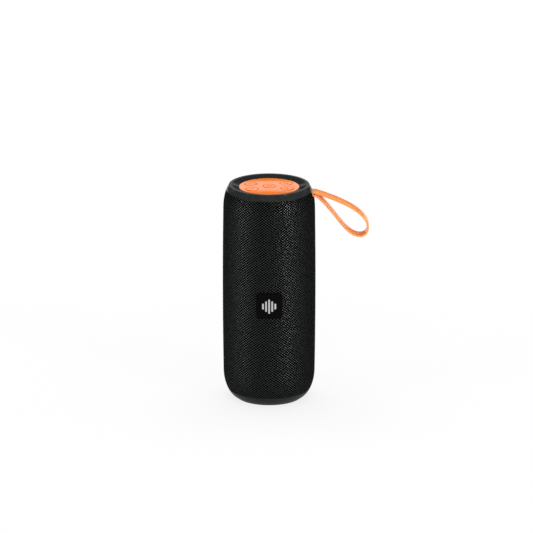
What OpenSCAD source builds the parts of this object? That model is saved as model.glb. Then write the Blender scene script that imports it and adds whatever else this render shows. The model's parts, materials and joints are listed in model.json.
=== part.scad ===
// Portable speaker: a fabric-covered barrel with a keypad on top, a carry strap and ports at the back.
// Millimetres, +Z up. The origin is the centre of the resting face, and the badge faces -Y.

/* [Body] */
// Widest outside diameter, at mid height
body_d = 70; // [68:1:90]
// Height from the floor to the top of the collar lip
body_h = 166.2; // [138:0.2:210]
// How far the sides swell at mid height
barrel = 0.5; // [0:0.1:2]
// Height of the rounded lower shoulder
base_shoulder_h = 22; // [18:1:28]
// How far the lower shoulder draws in
base_shoulder_in = 12.5; // [9:0.5:13]
// Height of the rounded upper shoulder
top_shoulder_h = 20; // [18:1:28]
// How far the upper shoulder draws in
top_shoulder_in = 8; // [5:0.5:9]
// How far the upper curve's own top lies above the lip
top_over = 2; // [1:0.1:4]
// Height of the smooth base below the fabric
base_show_h = 7.2; // [7:0.1:11]
// Height of the smooth collar above the fabric
collar_show_h = 4.5; // [4.5:0.1:8]
// Gap between the floor and the underside of the base
floor_gap = 0.8; // [0.5:0.1:1.2]

/* [Shell] */
// Thickness of the mesh fabric
fabric_t = 0.8; // [0.5:0.1:1.2]
// Wall of the grille tube that carries the fabric
tube_wall = 2; // [1.5:0.1:2.6]
// Width of one sound slot in the grille tube
slot_w = 3.2; // [2:0.1:4.5]
// Length of one sound slot
slot_l = 38; // [24:1:44]
// Number of sound slots in front of each driver
slot_count = 9; // [5:2:11]
// Wall of the inner chassis
chassis_wall = 2; // [1.6:0.1:2.4]
// Room between the chassis and the top edge of the grille tube
chassis_gap = 0.95; // [0.4:0.05:2]
// Height from the lower edge of the fabric to the chassis
base_room = 5.8; // [4.6:0.1:8]
// Height from the chassis to the top of the lip
top_room = 14.5; // [14.5:0.5:20]

/* [Collar and keypad] */
// Width of the flat lip
lip_w = 2.8; // [2.5:0.1:4.5]
// Radius of the lip's edges
lip_edge = 0.4; // [0.2:0.1:0.8]
// Diameter of the keypad disc
panel_d = 45; // [44:0.5:46]
// Depth of the keypad's edge below the lip
panel_drop = 1.7; // [1.6:0.1:3]
// Thickness of the keypad at its edge
panel_t = 1.8; // [1.4:0.1:2.2]
// How far the middle of the keypad stands above its edge
panel_crown = 0.4; // [0.4:0.1:1.2]
// Diameter of one key
key_d = 9.9; // [8:0.1:10.4]
// Groove between a key and the keypad
key_gap = 0.2; // [0.2:0.05:0.6]
// Sideways place of the outer keys
key_x = 13.2; // [12.5:0.1:13.5]
// Fore and aft place of the outer keys
key_y = 6.8; // [6:0.1:7.2]
// Turn of the keypad on the collar, in degrees
keypad_turn = 3.5; // [-6:0.5:6]
// Travel of a key
key_travel = 0.4; // [0.2:0.05:0.6]
// How far a key's face stands above the keypad
key_proud = 0.15; // [0.1:0.05:0.5]
// Diameter of one indicator lens
lens_d = 1.2; // [0.8:0.1:1.6]

/* [Strap] */
// Width of the strap band
strap_w = 10.5; // [6:0.1:11]
// Thickness of the strap band
strap_t = 1.6; // [1.2:0.1:2]
// How far the loop reaches out from its root
strap_reach = 40; // [32:0.2:56]
// How far the loop drops below its root
strap_drop = 32.5; // [24:0.5:42]
// How far the root stands outside the body
strap_stand = 1; // [0.8:0.1:1.6]
// Diameter of the strap pin
strap_pin_d = 2; // [1.5:0.1:2.4]

/* [Badge] */
// Width and height of the badge plate
badge_w = 19.5; // [14:0.5:26]
// Thickness of the badge plate
badge_t = 1; // [0.6:0.1:1.6]
// Height of the badge's centre
badge_z = 81.5; // [70:0.5:110]

/* [Drivers] */
// Width of a driver's flange
driver_d = 45; // [37:0.5:46]
// Outside diameter of the voice coil
coil_d = 20.6; // [16:0.2:22]
// Height of the magnet ring
magnet_h = 6; // [4:0.5:6.5]
// Diameter of the magnet ring
magnet_d = 32; // [28:0.5:34]
// Outside diameter of the passive radiator
radiator_d = 37; // [34:0.5:38]
// Diameter of the radiator's moving plate
plate_d = 21.6; // [16:0.2:23]

/* [Ports and power] */
// Width of the port panel
port_w = 34.2; // [33.6:0.2:36]
// Height of the port panel
port_h = 13; // [12.6:0.2:14]
// Depth of the port panel's floor below the body surface
port_depth = 6; // [5.6:0.1:6.4]
// Wall of the port panel
port_wall = 1.4; // [1:0.1:1.6]
// Bore of the audio jack
jack_bore_d = 3.6; // [3.5:0.05:3.7]
// Diameter of the battery cell
cell_d = 18.4; // [14:0.2:18.6]
// Length of the battery cell
cell_l = 65; // [50:0.5:70]

/* [Fits] */
// Glue line or loose seat between fixed pieces
glue = 0.1; // [0.05:0.01:0.15]
// Radial clearance of a screw or a pin in its hole
fit = 0.05; // [0.02:0.01:0.08]
// Clearance beside a piece that moves
run = 0.25; // [0.2:0.01:0.3]

/* [Hidden] */
$fn = 96;

// A length that passes right through any piece
through = 400;

// Screws: one size everywhere
screw_r = 1.1;
screw_head_r = 2;
screw_head_h = 1.5;
screw_l = 8;
boss_r = 2.6;
boss_room = 0.2;

// Outer surface, as a radius at each height
side_r = body_d / 2 - barrel;
top_shoulder_z = body_h + top_over - top_shoulder_h;
shoulder_steps = 12;
side_steps = 8;
least_step = 0.3;

function sag(t) = 1 - sqrt(max(0, 1 - t * t));

function side_bulge(u) = 4 * barrel * u * (1 - u);

function body_r(z) =
    z < base_shoulder_h ? side_r - base_shoulder_in * sag((base_shoulder_h - z) / base_shoulder_h)
    : z > top_shoulder_z ? side_r - top_shoulder_in * sag((z - top_shoulder_z) / top_shoulder_h)
    : side_r + side_bulge((z - base_shoulder_h) / (top_shoulder_z - base_shoulder_h));

levels = concat(
    [for (i = [0:shoulder_steps]) base_shoulder_h * (1 - cos(90 * i / shoulder_steps))],
    [for (i = [1:side_steps - 1])
        base_shoulder_h + (top_shoulder_z - base_shoulder_h) * i / side_steps],
    [for (i = [0:shoulder_steps]) top_shoulder_z + top_shoulder_h * sin(90 * i / shoulder_steps)]
);

function outline(z0, z1, inset) = concat(
    [[body_r(z0) - inset, z0]],
    [for (z = levels) if (z > z0 + least_step && z < z1 - least_step) [body_r(z) - inset, z]],
    [[body_r(z1) - inset, z1]]
);

function reversed(list) = [for (i = [len(list) - 1:-1:0]) list[i]];

function arc(cx, cy, rx, ry, from, to, steps) =
    [for (i = [0:steps]) let (a = from + (to - from) * i / steps) [cx + rx * cos(a), cy + ry * sin(a)]];

// Fabric and grille tube
fabric_z0 = base_show_h;
fabric_z1 = body_h - collar_show_h;
tube_out = fabric_t + glue;
tube_in = tube_out + tube_wall;
plug_gap = 1.5 * glue;
tube_top_r = body_r(fabric_z1) - tube_in;
tube_foot_r = body_r(fabric_z0) - tube_in;
slot_spread = 100;

// Chassis
chassis_r = tube_top_r - chassis_gap;
chassis_in_r = chassis_r - chassis_wall;
chassis_z0 = base_show_h + base_room;
chassis_z1 = body_h - top_room;
chassis_floor = chassis_z0 + chassis_wall;
chassis_roof = chassis_z1 - chassis_wall;
chassis_mid = (chassis_z0 + chassis_z1) / 2;
flange_margin = 1;
baffle_y = -sqrt(pow(chassis_r, 2) - pow(driver_d / 2 + flange_margin, 2));
clamp_x = chassis_in_r - boss_r - boss_room;
clamp_low = 20;
clamp_high = 14;
clamp_levels = [chassis_z0 + clamp_low, chassis_mid, chassis_z1 - clamp_high];
clamp_boss_r = 3.2;
clamp_head_y = 6;

// Collar and keypad
lip_z = body_h - lip_edge;
lip_r = body_r(lip_z);
lip_inner_angle = 155;
lip_steps = 4;
seam_edge = 0.4;
panel_r = panel_d / 2;
panel_z = body_h - panel_drop;
panel_z0 = panel_z - panel_t;
dome_r = (pow(panel_r, 2) + pow(panel_crown, 2)) / (2 * panel_crown);
crown_steps = 8;
ledge_t = 1.8;
ledge_w = 1.3;
ledge_r = panel_r - ledge_w;
skirt_r = tube_top_r - plug_gap;
skirt_t = 2.4;
skirt_in_r = skirt_r - skirt_t;
skirt_l = 6.9;
collar_screw_r = skirt_in_r - boss_r - boss_room;
collar_screw_angles = [90, 205, 335];

function panel_top(x, y) =
    panel_z + panel_crown - dome_r + sqrt(pow(dome_r, 2) - pow(x, 2) - pow(y, 2));

key_r = key_d / 2;
key_hole_r = key_r + key_gap;
key_flange_w = 0.6;
key_flange_r = key_hole_r + key_flange_w;
key_flange_t = 0.9;
key_stem_r = 1.6;
key_rim_w = 0.7;
mark_h = 0.1;
mark_w = 0.8;
mark_r = 1.7;

function turned(p) =
    [p[0] * cos(keypad_turn) - p[1] * sin(keypad_turn), p[0] * sin(keypad_turn) + p[1] * cos(keypad_turn)];

key_corners = [[-1, 1], [1, 1], [-1, -1], [1, -1]];
key_places = concat([[0, 0]], [for (c = key_corners) turned([c[0] * key_x, c[1] * key_y])]);
lens_y = -8.5;
lens_pitch = 3;
lens_places = [for (i = [-1:1]) turned([i * lens_pitch, lens_y])];

// Keypad board under the keys
keypad_room = 4.7;
board_t = 1.6;
key_board_z1 = panel_z0 - keypad_room;
key_board_z0 = key_board_z1 - board_t;
key_board_gap = 0.4;
key_board_r = ledge_r - key_board_gap;
key_board_screw_x = 6.5;
key_board_screw_y = 16.3;
key_board_screws = [for (x = [-1, 1]) for (y = [-1, 1]) [x * key_board_screw_x, y * key_board_screw_y]];
switch_w = 6;
switch_h = 1.8;
nub_r = 1.5;
nub_h = 0.4;
lamp_size = [1.6, 0.8, 0.6];
key_stem_z = key_board_z1 + switch_h + nub_h + key_travel + fit;

// Strap
strap_low = 2.1;
strap_z = fabric_z1 - strap_low;
strap_x = body_r(strap_z) + strap_stand;
strand_gap = 0.4;
strand_half = (strap_t + strand_gap) / 2;
knuckle_skin = 0.1;
knuckle_r = strand_half + strap_t / 2 + knuckle_skin;
socket_r = knuckle_r + run;
strap_slot_half = socket_r + run;
strap_side_gap = 0.35;
strap_pin_r = strap_pin_d / 2;
strap_pin_in = 1.2;
strap_pin_x = skirt_r - strap_pin_r - strap_pin_in;
eyelet_r = strap_pin_r + strap_t;
pocket_half = eyelet_r + run;
strap_ear_wall = 1.3;
strap_ear_r = strap_pin_r + strap_ear_wall;
strap_ear_t = 2.9;
strap_slot_w = strap_w + 2 * strap_side_gap;
strap_root_x = 0.5;
strap_steps = 14;
strap_bend_steps = 8;

// Badge
badge_corner_r = 1.8;
badge_post_x = 6;
badge_post_r = 1;
badge_post_gap = 0.15;
bar_w = 1.3;
bar_pitch = 2.3;
bar_heights = [4.5, 8, 11, 8, 4.5];
bar_t = 0.25;

// Base
base_floor_t = 4.2;
base_z1 = floor_gap + base_floor_t;
base_hole_r = 15.5;
spigot_r = tube_foot_r - plug_gap;
spigot_t = 2.4;
spigot_room = 1;
spigot_z1 = chassis_z0 - spigot_room;
foot_t = 1.6;
foot_r0 = 18.4;
foot_r1 = 24.4;
foot_break = 10;
foot_break_angles = [60, 120];
base_screw_r = (foot_r0 + foot_r1) / 2;
base_screw_angles = [30, 150, 210, 330];
base_head_z = foot_t + glue + screw_head_h;

// Passive radiator under the chassis floor
gasket_t = 0.6;
radiator_r = radiator_d / 2;
radiator_rim = 2.7;
radiator_in_r = radiator_r - radiator_rim;
radiator_frame_h = 2.4;
radiator_z1 = chassis_z0 - gasket_t;
radiator_z0 = radiator_z1 - radiator_frame_h;
plate_r = plate_d / 2;
plate_t = 1.2;
weight_r = 6;
weight_h = 3;
roll_t = 0.5;
roll_tab = 0.9;
radiator_seat_w = 0.8;
radiator_hole_r = radiator_in_r - radiator_seat_w;

// Drivers: local +Z faces the listener, from the baffle's face
driver_r = driver_d / 2;
driver_ear = 4.5;
driver_ear_r = driver_r + driver_ear;
driver_screw_in = 2.4;
driver_screw_at = (driver_ear_r - driver_screw_in) / sqrt(2);
driver_hole_in = 3;
driver_hole_r = driver_r - driver_hole_in;
driver_gasket_t = 0.7;
flange_t = 1.4;
flange_z1 = driver_gasket_t + flange_t;
flange_w = 4.4;
flange_in_r = driver_r - flange_w;
basket_in = 3.4;
basket_r = driver_r - basket_in;
basket_wall = 1.2;
basket_z0 = -11;
basket_neck_z = -1.5;
magnet_edge = 1;
basket_foot_r = magnet_d / 2 - magnet_edge;
basket_window = [9, 6];
basket_neck_room = 1;
basket_window_z = basket_neck_z - basket_neck_room - basket_window[1];
terminal = [7, 2.4, 6];
terminal_in = 4.1;
terminal_gap = 0.3;
terminal_z = basket_neck_z - basket_neck_room - terminal[2];
top_plate_t = 2;
yoke_t = 2.4;
coil_r = coil_d / 2;
coil_wall = 0.7;
coil_gap = 0.35;
coil_top = -7.5;
coil_h = 8;
magnet_r = magnet_d / 2;
magnet_z1 = basket_z0 - top_plate_t;
magnet_z0 = magnet_z1 - magnet_h;
cone_in = 5.9;
cone_r = driver_r - cone_in;
cone_t = 0.6;
cone_rim = 1;
surround_seat = 1.2;
cap_over = 0.6;
cap_r = coil_r + cap_over;
cap_h = 3.2;
cone_foot_h = 1.2 * cone_t;
cone_run = cone_r - cone_rim - cone_t / 2 - coil_r - fit;
cone_slope = (flange_z1 - coil_top - cone_foot_h) / cone_run;
cap_rise = cone_foot_h + (cap_over - fit) * cone_slope + glue * sqrt(1 + pow(cone_slope, 2));
cap_z = coil_top + cap_rise;
cap_t = 0.5;
spider_z = basket_z0 + basket_wall + glue;
spider_t = 0.5;
spider_rim = 1;
spider_rise = 1;
spider_wave = 0.5;
spider_waves = 5;
spider_r = basket_foot_r - basket_wall - spider_rim - glue;
terminal_out = max(driver_r - terminal_in, spider_r + spider_rim + terminal_gap + terminal[1]);
part_room = 8;

// Main board above the chassis floor
post_h = 3.4;
main_z0 = chassis_floor + post_h;
main_z1 = main_z0 + board_t;
board_edge_gap = 0.8;
main_r = chassis_in_r - board_edge_gap;
board_front_gap = 2;
main_front_y = baffle_y + chassis_wall + board_front_gap;
post_in = 2.3;
post_ring_r = chassis_in_r - boss_r - post_in;
post_angles = [25, 155, 205, 335];
lower_gap = 3;
lower_z = main_z1 + part_room + magnet_r + lower_gap;
upper_gap = 2;
upper_z = chassis_roof - driver_r - upper_gap;
driver_levels = [lower_z, upper_z];

// Connectors on the main board: centre x, centre y, width, depth, height
speaker_plug = [0, -7.25, 12, 3.5, 4];
battery_plug = [-13, 8, 7, 5, 5];
cable_plug = [12.8, 17.5, 8, 3, 2];
chips = [[-9, 0, 12, 9, 2.2], [7, 2, 7, 7, 1.5], [13.5, -3, 5, 5, 4], [13.5, 3.5, 5, 5, 4]];
capacitors = [[2.5, 9.8], [9, 9.8]];
capacitor_r = 3;
capacitor_h = 7;

// Ports at the back
jack_axis_h = 2.6;
port_z = main_z1 + jack_axis_h;
port_floor_y = body_r(port_z) - port_depth;
port_face_out = 0.2;
port_face_y = port_floor_y + port_face_out;
port_corner_r = 2;
port_room_w = port_w - 2 * port_wall;
port_room_h = port_h - 2 * port_wall;
charge_x = 9.5;
charge_size = [8.9, 7.4, 3.2];
charge_shell = 0.3;
charge_tongue = [6.7, 5, 0.7];
jack_size = [6.4, 14.6, 5];
jack_nose_r = 2.9;
jack_nose_back = 1;
jack_bore_l = 14;
card_x = -9.2;
card_size = [11.6, 13, 1.9];
card_mouth = [11.2, 10, 0.9];
socket_gap = 0.15;
cover_t = 2.2;
cover_floor_gap = 1.3;
cover_low = 3;
cover_high = 4.5;
cover_side_gap = 0.35;
cover_corner_r = 1.2;
cover_pin_r = 0.7;
cover_pin_l = 8;
cover_pin_low = 1.2;
cover_pin_z = port_z - cover_low - cover_pin_low;
cover_pin_in = 0.9;
cover_pin_y = body_r(cover_pin_z) - cover_pin_in;
cover_web = 1.6;
cover_seat_gap = 0.15;
cover_seat_top = 0.5;

// Battery, leads and cable
cell_r = cell_d / 2;
cell_wall_gap = 0.6;
cell_y = chassis_in_r - cell_r - cell_wall_gap;
cell_z0 = chassis_mid - cell_l / 2;
cell_z1 = cell_z0 + cell_l;
cell_cap_r = 2.8;
cell_cap_h = 0.9;
saddle_t = 4;
saddle_inset = 12;
saddle_half_w = 9.3;
saddle_gap = 0.2;
wire_r = 0.7;
wire_sides = 8;
cable_w = 6;
cable_t = 0.4;
cable_turn_y = 10;
cable_turn_drop = 2.5;
cable_plug_h = 1.8;
cable_slot_gap = 0.6;
battery_plug_z = main_z1 + battery_plug[4] + glue;
speaker_plug_z = main_z1 + speaker_plug[4] + glue;
side_run_x = 18.6;

// Shared shapes
module shell(z0, z1, inset_out, inset_in) {
    rotate_extrude()
        polygon(concat(outline(z0, z1, inset_out), reversed(outline(z0, z1, inset_in))));
}

module body_solid(z0, z1, inset) {
    rotate_extrude()
        polygon(concat([[0, z0]], outline(z0, z1, inset), [[0, z1]]));
}

module tube(r0, r1, z0, z1) {
    translate([0, 0, z0])
        difference() {
            cylinder(r = r1, h = z1 - z0);
            translate([0, 0, -1])
                cylinder(r = r0, h = z1 - z0 + 2);
        }
}

module rounded(w, h, r) {
    square([w - 2 * r, h], center = true);
    square([w, h - 2 * r], center = true);
    for (x = [-1, 1]) for (y = [-1, 1])
        translate([x * (w / 2 - r), y * (h / 2 - r)])
            circle(r);
}

// A flat shape in x and z, pushed from y = 0 towards the front
module to_front(depth) {
    rotate([90, 0, 0])
        linear_extrude(depth)
            children();
}

// A flat shape in x and z at a given height, pushed from one y to another towards the back
module to_back(z, y0, y1) {
    translate([0, y1, z])
        to_front(y1 - y0)
            children();
}

module along_x(r, l) {
    rotate([0, 90, 0])
        cylinder(r = r, h = l, center = true);
}

module along_y(r, l) {
    rotate([90, 0, 0])
        cylinder(r = r, h = l, center = true);
}

module ring_of(r, angles) {
    for (a = angles)
        rotate([0, 0, a])
            translate([r, 0, 0])
                children();
}

// A screw with its head's seat at z = 0 and its shank pointing up
module plain_screw(l) {
    translate([0, 0, -screw_head_h / 2])
        cylinder(r = screw_r, h = l + screw_head_h / 2);
    translate([0, 0, -screw_head_h])
        cylinder(r = screw_head_r, h = screw_head_h);
}

module screw() {
    plain_screw(screw_l);
}

// The hole for that screw's shank
module screw_hole() {
    translate([0, 0, -through / 2])
        cylinder(r = screw_r + fit, h = through / 2 + screw_l + glue);
}

// A half-round roll with a flat tab on each side, standing on z = 0
function roll_profile(r0, r1) =
    let (c = (r0 + r1) / 2, r = (r1 - r0) / 2)
    concat(
        [[r0 - roll_tab, 0], [r0 + roll_t, 0]],
        arc(c, roll_t, r - roll_t, r - roll_t, 180, 0, shoulder_steps),
        [[r1 - roll_t, 0], [r1 + roll_tab, 0], [r1 + roll_tab, roll_t]],
        arc(c, roll_t, r, r, 0, 180, shoulder_steps),
        [[r0 - roll_tab, roll_t]]
    );

// Sleeve, grille tube and the cuts that they share
module skin_cuts() {
    translate([0, 0, badge_z])
        for (x = [-badge_post_x, badge_post_x])
            translate([x, 0, 0])
                to_front(through)
                    circle(badge_post_r + badge_post_gap);
    to_back(port_z, 0, through)
        rounded(port_w + 2 * glue, port_h + 2 * glue, port_corner_r + glue);
    translate([0, -strap_slot_w / 2, strap_z - strap_slot_half])
        cube([through, strap_slot_w, through]);
}

module fabric_sleeve() {
    color("#2e2e30")
        difference() {
            shell(fabric_z0 + glue, fabric_z1 - glue, 0, fabric_t);
            skin_cuts();
        }
}

module grille_tube() {
    color("#1a1a1c")
        difference() {
            shell(fabric_z0 + glue, fabric_z1 - glue, tube_out, tube_in);
            skin_cuts();
            for (z = driver_levels)
                for (i = [0:slot_count - 1])
                    rotate([0, 0, slot_spread * (i / (slot_count - 1) - 0.5)])
                        translate([-slot_w / 2, -through, z - slot_l / 2])
                            cube([slot_w, through, slot_l]);
        }
}

// Collar: lip, seat for the keypad, skirt inside the tube, ears for the strap pin and screw bosses
module collar_profile() {
    polygon(concat(
        [[body_r(fabric_z1) - seam_edge, fabric_z1]],
        outline(fabric_z1 + seam_edge, lip_z, 0),
        arc(lip_r - lip_edge, lip_z, lip_edge, lip_edge, 0, 90, lip_steps),
        arc(lip_r - lip_w + lip_edge, lip_z, lip_edge, lip_edge, 90, lip_inner_angle, lip_steps),
        [
            [panel_r + plug_gap, panel_z],
            [panel_r + glue, panel_z0],
            [ledge_r, panel_z0],
            [ledge_r, panel_z0 - ledge_t],
            [skirt_in_r, panel_z0 - ledge_t],
            [skirt_in_r, fabric_z1 - skirt_l],
            [skirt_r, fabric_z1 - skirt_l],
            [skirt_r, fabric_z1],
        ]
    ));
}

module strap_ears() {
    intersection() {
        for (side = [-1, 1])
            translate([strap_pin_x, side * (strap_slot_w + strap_ear_t) / 2, strap_z])
                along_y(strap_ear_r, strap_ear_t);
        cylinder(r = skirt_r, h = through);
    }
}

module top_ring() {
    color("#303032")
        difference() {
            union() {
                rotate_extrude()
                    collar_profile();
                strap_ears();
                ring_of(collar_screw_r, collar_screw_angles)
                    translate([0, 0, chassis_z1])
                        cylinder(r = boss_r, h = panel_z0 - ledge_t / 2 - chassis_z1);
            }
            translate([strap_pin_x - pocket_half, -strap_slot_w / 2, strap_z - pocket_half])
                cube([2 * pocket_half, strap_slot_w, 2 * pocket_half]);
            translate([strap_pin_x, -strap_slot_w / 2, strap_z - strap_slot_half])
                cube([through, strap_slot_w, 2 * strap_slot_half]);
            translate([strap_pin_x, 0, strap_z])
                along_y(strap_pin_r + fit, strap_slot_w + 2 * strap_ear_t);
            ring_of(collar_screw_r, collar_screw_angles)
                translate([0, 0, chassis_roof])
                    screw_hole();
        }
}

// Keypad disc with its crowned face, and the five keys
module keypad() {
    color("#f5873b")
        difference() {
            rotate_extrude()
                polygon(concat(
                    [[0, panel_z0], [panel_r, panel_z0]],
                    [for (i = [crown_steps:-1:0]) let (r = panel_r * i / crown_steps) [r, panel_top(r, 0)]]
                ));
            for (p = key_places)
                translate([p[0], p[1], 0])
                    cylinder(r = key_hole_r, h = through);
            for (p = lens_places)
                translate([p[0], p[1], 0])
                    cylinder(r = lens_d / 2 + fit, h = through);
        }
}

module key(place) {
    face_z = panel_top(place[0], place[1]) + key_proud;
    flange_z = panel_z0 - glue - key_flange_t;
    color("#f5873b")
        translate([place[0], place[1], 0]) {
            difference() {
                union() {
                    translate([0, 0, flange_z])
                        cylinder(r = key_flange_r, h = key_flange_t);
                    translate([0, 0, flange_z])
                        cylinder(r = key_r, h = face_z - flange_z);
                    translate([0, 0, key_stem_z])
                        cylinder(r = key_stem_r, h = flange_z - key_stem_z + glue);
                }
                translate([0, 0, face_z - mark_h])
                    cylinder(r = key_r - key_rim_w, h = through);
            }
            translate([0, 0, face_z - 2 * mark_h])
                linear_extrude(2 * mark_h)
                    rotate(keypad_turn)
                        children();
        }
}

module key_power() {
    key(key_places[0]) {
        difference() {
            circle(mark_r + mark_w / 2);
            circle(mark_r - mark_w / 2);
            translate([-mark_w, 0])
                square([2 * mark_w, 2 * mark_r]);
        }
        translate([-mark_w / 2, mark_r / 4])
            square([mark_w, 1.4 * mark_r]);
    }
}

module key_play() {
    key(key_places[1]) {
        translate([-mark_r / 2, 0])
            circle(mark_r, $fn = 3);
        for (x = [mark_r, 2 * mark_r])
            translate([x, 0])
                square([mark_w, 2 * mark_r], center = true);
    }
}

module key_mode() {
    key(key_places[2])
        polygon([
            [-mark_r, -mark_r], [-mark_r, mark_r], [-mark_r + mark_w, mark_r], [0, mark_w / 4],
            [mark_r - mark_w, mark_r], [mark_r, mark_r], [mark_r, -mark_r], [mark_r - mark_w, -mark_r],
            [mark_r - mark_w, mark_r - 2 * mark_w], [0, -mark_w],
            [mark_w - mark_r, mark_r - 2 * mark_w], [mark_w - mark_r, -mark_r],
        ]);
}

module key_minus() {
    key(key_places[3])
        square([2 * mark_r, mark_w], center = true);
}

module key_plus() {
    key(key_places[4]) {
        square([2 * mark_r, mark_w], center = true);
        square([mark_w, 2 * mark_r], center = true);
    }
}

module indicator_lenses() {
    lens_z0 = key_board_z1 + lamp_size[2] + glue;
    color("#ffe0b0")
        for (p = lens_places)
            translate([p[0], p[1], lens_z0])
                cylinder(r = lens_d / 2, h = panel_top(p[0], p[1]) - lens_z0);
}

module keypad_board() {
    color("#1f6b3a")
        difference() {
            union() {
                translate([0, 0, key_board_z0])
                    cylinder(r = key_board_r, h = board_t);
                translate([cable_plug[0], cable_turn_y, key_board_z0 - cable_plug_h / 2 + glue])
                    cube([cable_plug[2], cable_plug[3], cable_plug_h + 2 * glue], center = true);
            }
            for (p = key_board_screws)
                translate([p[0], p[1], 0])
                    cylinder(r = screw_r + fit, h = through);
        }
}

module tact_switches() {
    color("#444448")
        for (p = key_places)
            translate([p[0], p[1], key_board_z1]) {
                translate([-switch_w / 2, -switch_w / 2, 0])
                    cube([switch_w, switch_w, switch_h]);
                cylinder(r = nub_r, h = switch_h + nub_h);
            }
}

module status_lamps() {
    color("#f4f4e8")
        for (p = lens_places)
            translate([p[0] - lamp_size[0] / 2, p[1] - lamp_size[1] / 2, key_board_z1])
                cube(lamp_size);
}

// Screws of the keypad board and of the main board
module board_screws() {
    color("#b8b8bc") {
        for (p = key_board_screws)
            translate([p[0], p[1], key_board_z1])
                mirror([0, 0, 1])
                    plain_screw(board_t + post_h - glue);
        ring_of(post_ring_r, post_angles)
            translate([0, 0, main_z1])
                mirror([0, 0, 1])
                    plain_screw(board_t + post_h - glue);
    }
}

// Badge: a plate that follows the barrel, two posts through the skin, and five plain bars
module badge_plate() {
    color("#0c0c0d") {
        intersection() {
            shell(badge_z - badge_w, badge_z + badge_w, -badge_t - glue, -glue);
            translate([0, 0, badge_z])
                to_front(through)
                    rounded(badge_w, badge_w, badge_corner_r);
        }
        difference() {
            translate([0, 0, badge_z])
                for (x = [-badge_post_x, badge_post_x])
                    translate([x, 0, 0])
                        to_front(side_r + badge_t)
                            circle(badge_post_r);
            cylinder(r = side_r - tube_in, h = through);
        }
    }
}

module badge_bars() {
    color("#d0d0d2")
        intersection() {
            shell(badge_z - badge_w, badge_z + badge_w, -badge_t - glue - bar_t, -badge_t - glue);
            translate([0, 0, badge_z])
                to_front(through)
                    for (i = [0:len(bar_heights) - 1])
                        translate([(i - (len(bar_heights) - 1) / 2) * bar_pitch, 0])
                            rounded(bar_w, bar_heights[i], bar_w / 3);
        }
}

// Strap: the loop's middle line is three cubic curves, from its root and back to it.
// The factors place each curve's points along the reach and the drop.
function bezier(p, t) =
    pow(1 - t, 3) * p[0] + 3 * pow(1 - t, 2) * t * p[1] + 3 * (1 - t) * pow(t, 2) * p[2] + pow(t, 3) * p[3];

function bezier_slope(p, t) =
    pow(1 - t, 2) * (p[1] - p[0]) + 2 * (1 - t) * t * (p[2] - p[1]) + pow(t, 2) * (p[3] - p[2]);

function beside(p, t, d) =
    let (s = bezier_slope(p, t))
    bezier(p, t) + d * [-s[1], s[0]] / norm(s);

function strap_side(d) = concat(
    [for (i = [0:strap_steps]) beside(strap_upper, i / strap_steps, d)],
    [for (i = [1:strap_bend_steps]) beside(strap_bend, i / strap_bend_steps, d)],
    [for (i = [1:strap_steps]) beside(strap_lower, i / strap_steps, d)]
);

strap_tip = [strap_reach, -0.79 * strap_drop];
strap_belly = [0.85 * strap_reach, -strap_drop];
strap_upper = [
    [strap_root_x, strand_half],
    [0.3 * strap_reach, -0.08 * strap_drop],
    [strap_reach, -0.38 * strap_drop],
    strap_tip,
];
strap_bend = [
    strap_tip,
    [strap_reach, -0.93 * strap_drop],
    [0.94 * strap_reach, -strap_drop],
    strap_belly,
];
strap_lower = [
    strap_belly,
    [0.56 * strap_reach, -strap_drop],
    [0.34 * strap_reach, -0.29 * strap_drop],
    [strap_root_x, -strand_half],
];

module strap_loop() {
    color("#f0914c")
        translate([strap_x, 0, strap_z])
            union() {
                translate([0, strap_w / 2, 0])
                    to_front(strap_w)
                        polygon(concat(strap_side(strap_t / 2), reversed(strap_side(-strap_t / 2))));
                along_y(knuckle_r, strap_w);
            }
}

module strap_anchor() {
    neck_h = 2 * (knuckle_r - glue);
    color("#f0914c")
        difference() {
            union() {
                translate([strap_pin_x, 0, strap_z])
                    along_y(eyelet_r, strap_w);
                translate([strap_pin_x, -strap_w / 2, strap_z - neck_h / 2])
                    cube([strap_x - strap_pin_x - knuckle_r / 2, strap_w, neck_h]);
            }
            translate([strap_x, 0, strap_z])
                along_y(socket_r, strap_w + 1);
            translate([strap_pin_x, 0, strap_z])
                along_y(strap_pin_r + fit, strap_w + 1);
        }
}

module strap_pin() {
    color("#c8c8cc")
        translate([strap_pin_x, 0, strap_z])
            along_y(strap_pin_r, strap_slot_w + 2 * strap_ear_t - glue);
}

// Base, its rubber feet and the screws that the feet hide
module base_profile() {
    polygon(concat(
        [[base_hole_r, floor_gap]],
        outline(floor_gap, fabric_z0, 0),
        [
            [spigot_r, fabric_z0],
            [spigot_r, spigot_z1],
            [spigot_r - spigot_t, spigot_z1],
            [spigot_r - spigot_t, base_z1],
            [base_hole_r, base_z1],
        ]
    ));
}

module base_ring() {
    color("#2c2c2e")
        difference() {
            rotate_extrude()
                base_profile();
            tube(foot_r0 - glue, foot_r1 + glue, -1, foot_t);
            ring_of(base_screw_r, base_screw_angles) {
                cylinder(r = screw_r + fit, h = through);
                cylinder(r = screw_head_r + glue, h = base_head_z);
            }
        }
}

module foot_pads() {
    color("#18181a")
        difference() {
            tube(foot_r0, foot_r1, 0, foot_t);
            for (a = foot_break_angles)
                rotate([0, 0, a])
                    translate([0, -foot_break / 2, -1])
                        cube([through, foot_break, through]);
        }
}

module base_screws() {
    color("#b8b8bc")
        ring_of(base_screw_r, base_screw_angles)
            translate([0, 0, base_head_z])
                screw();
}

// Passive radiator
module radiator_frame() {
    color("#27272a")
        tube(radiator_in_r, radiator_r, radiator_z0, radiator_z1);
}

module radiator_gasket() {
    color("#3a3a3a")
        tube(radiator_in_r, radiator_r - glue, radiator_z1, chassis_z0);
}

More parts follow.
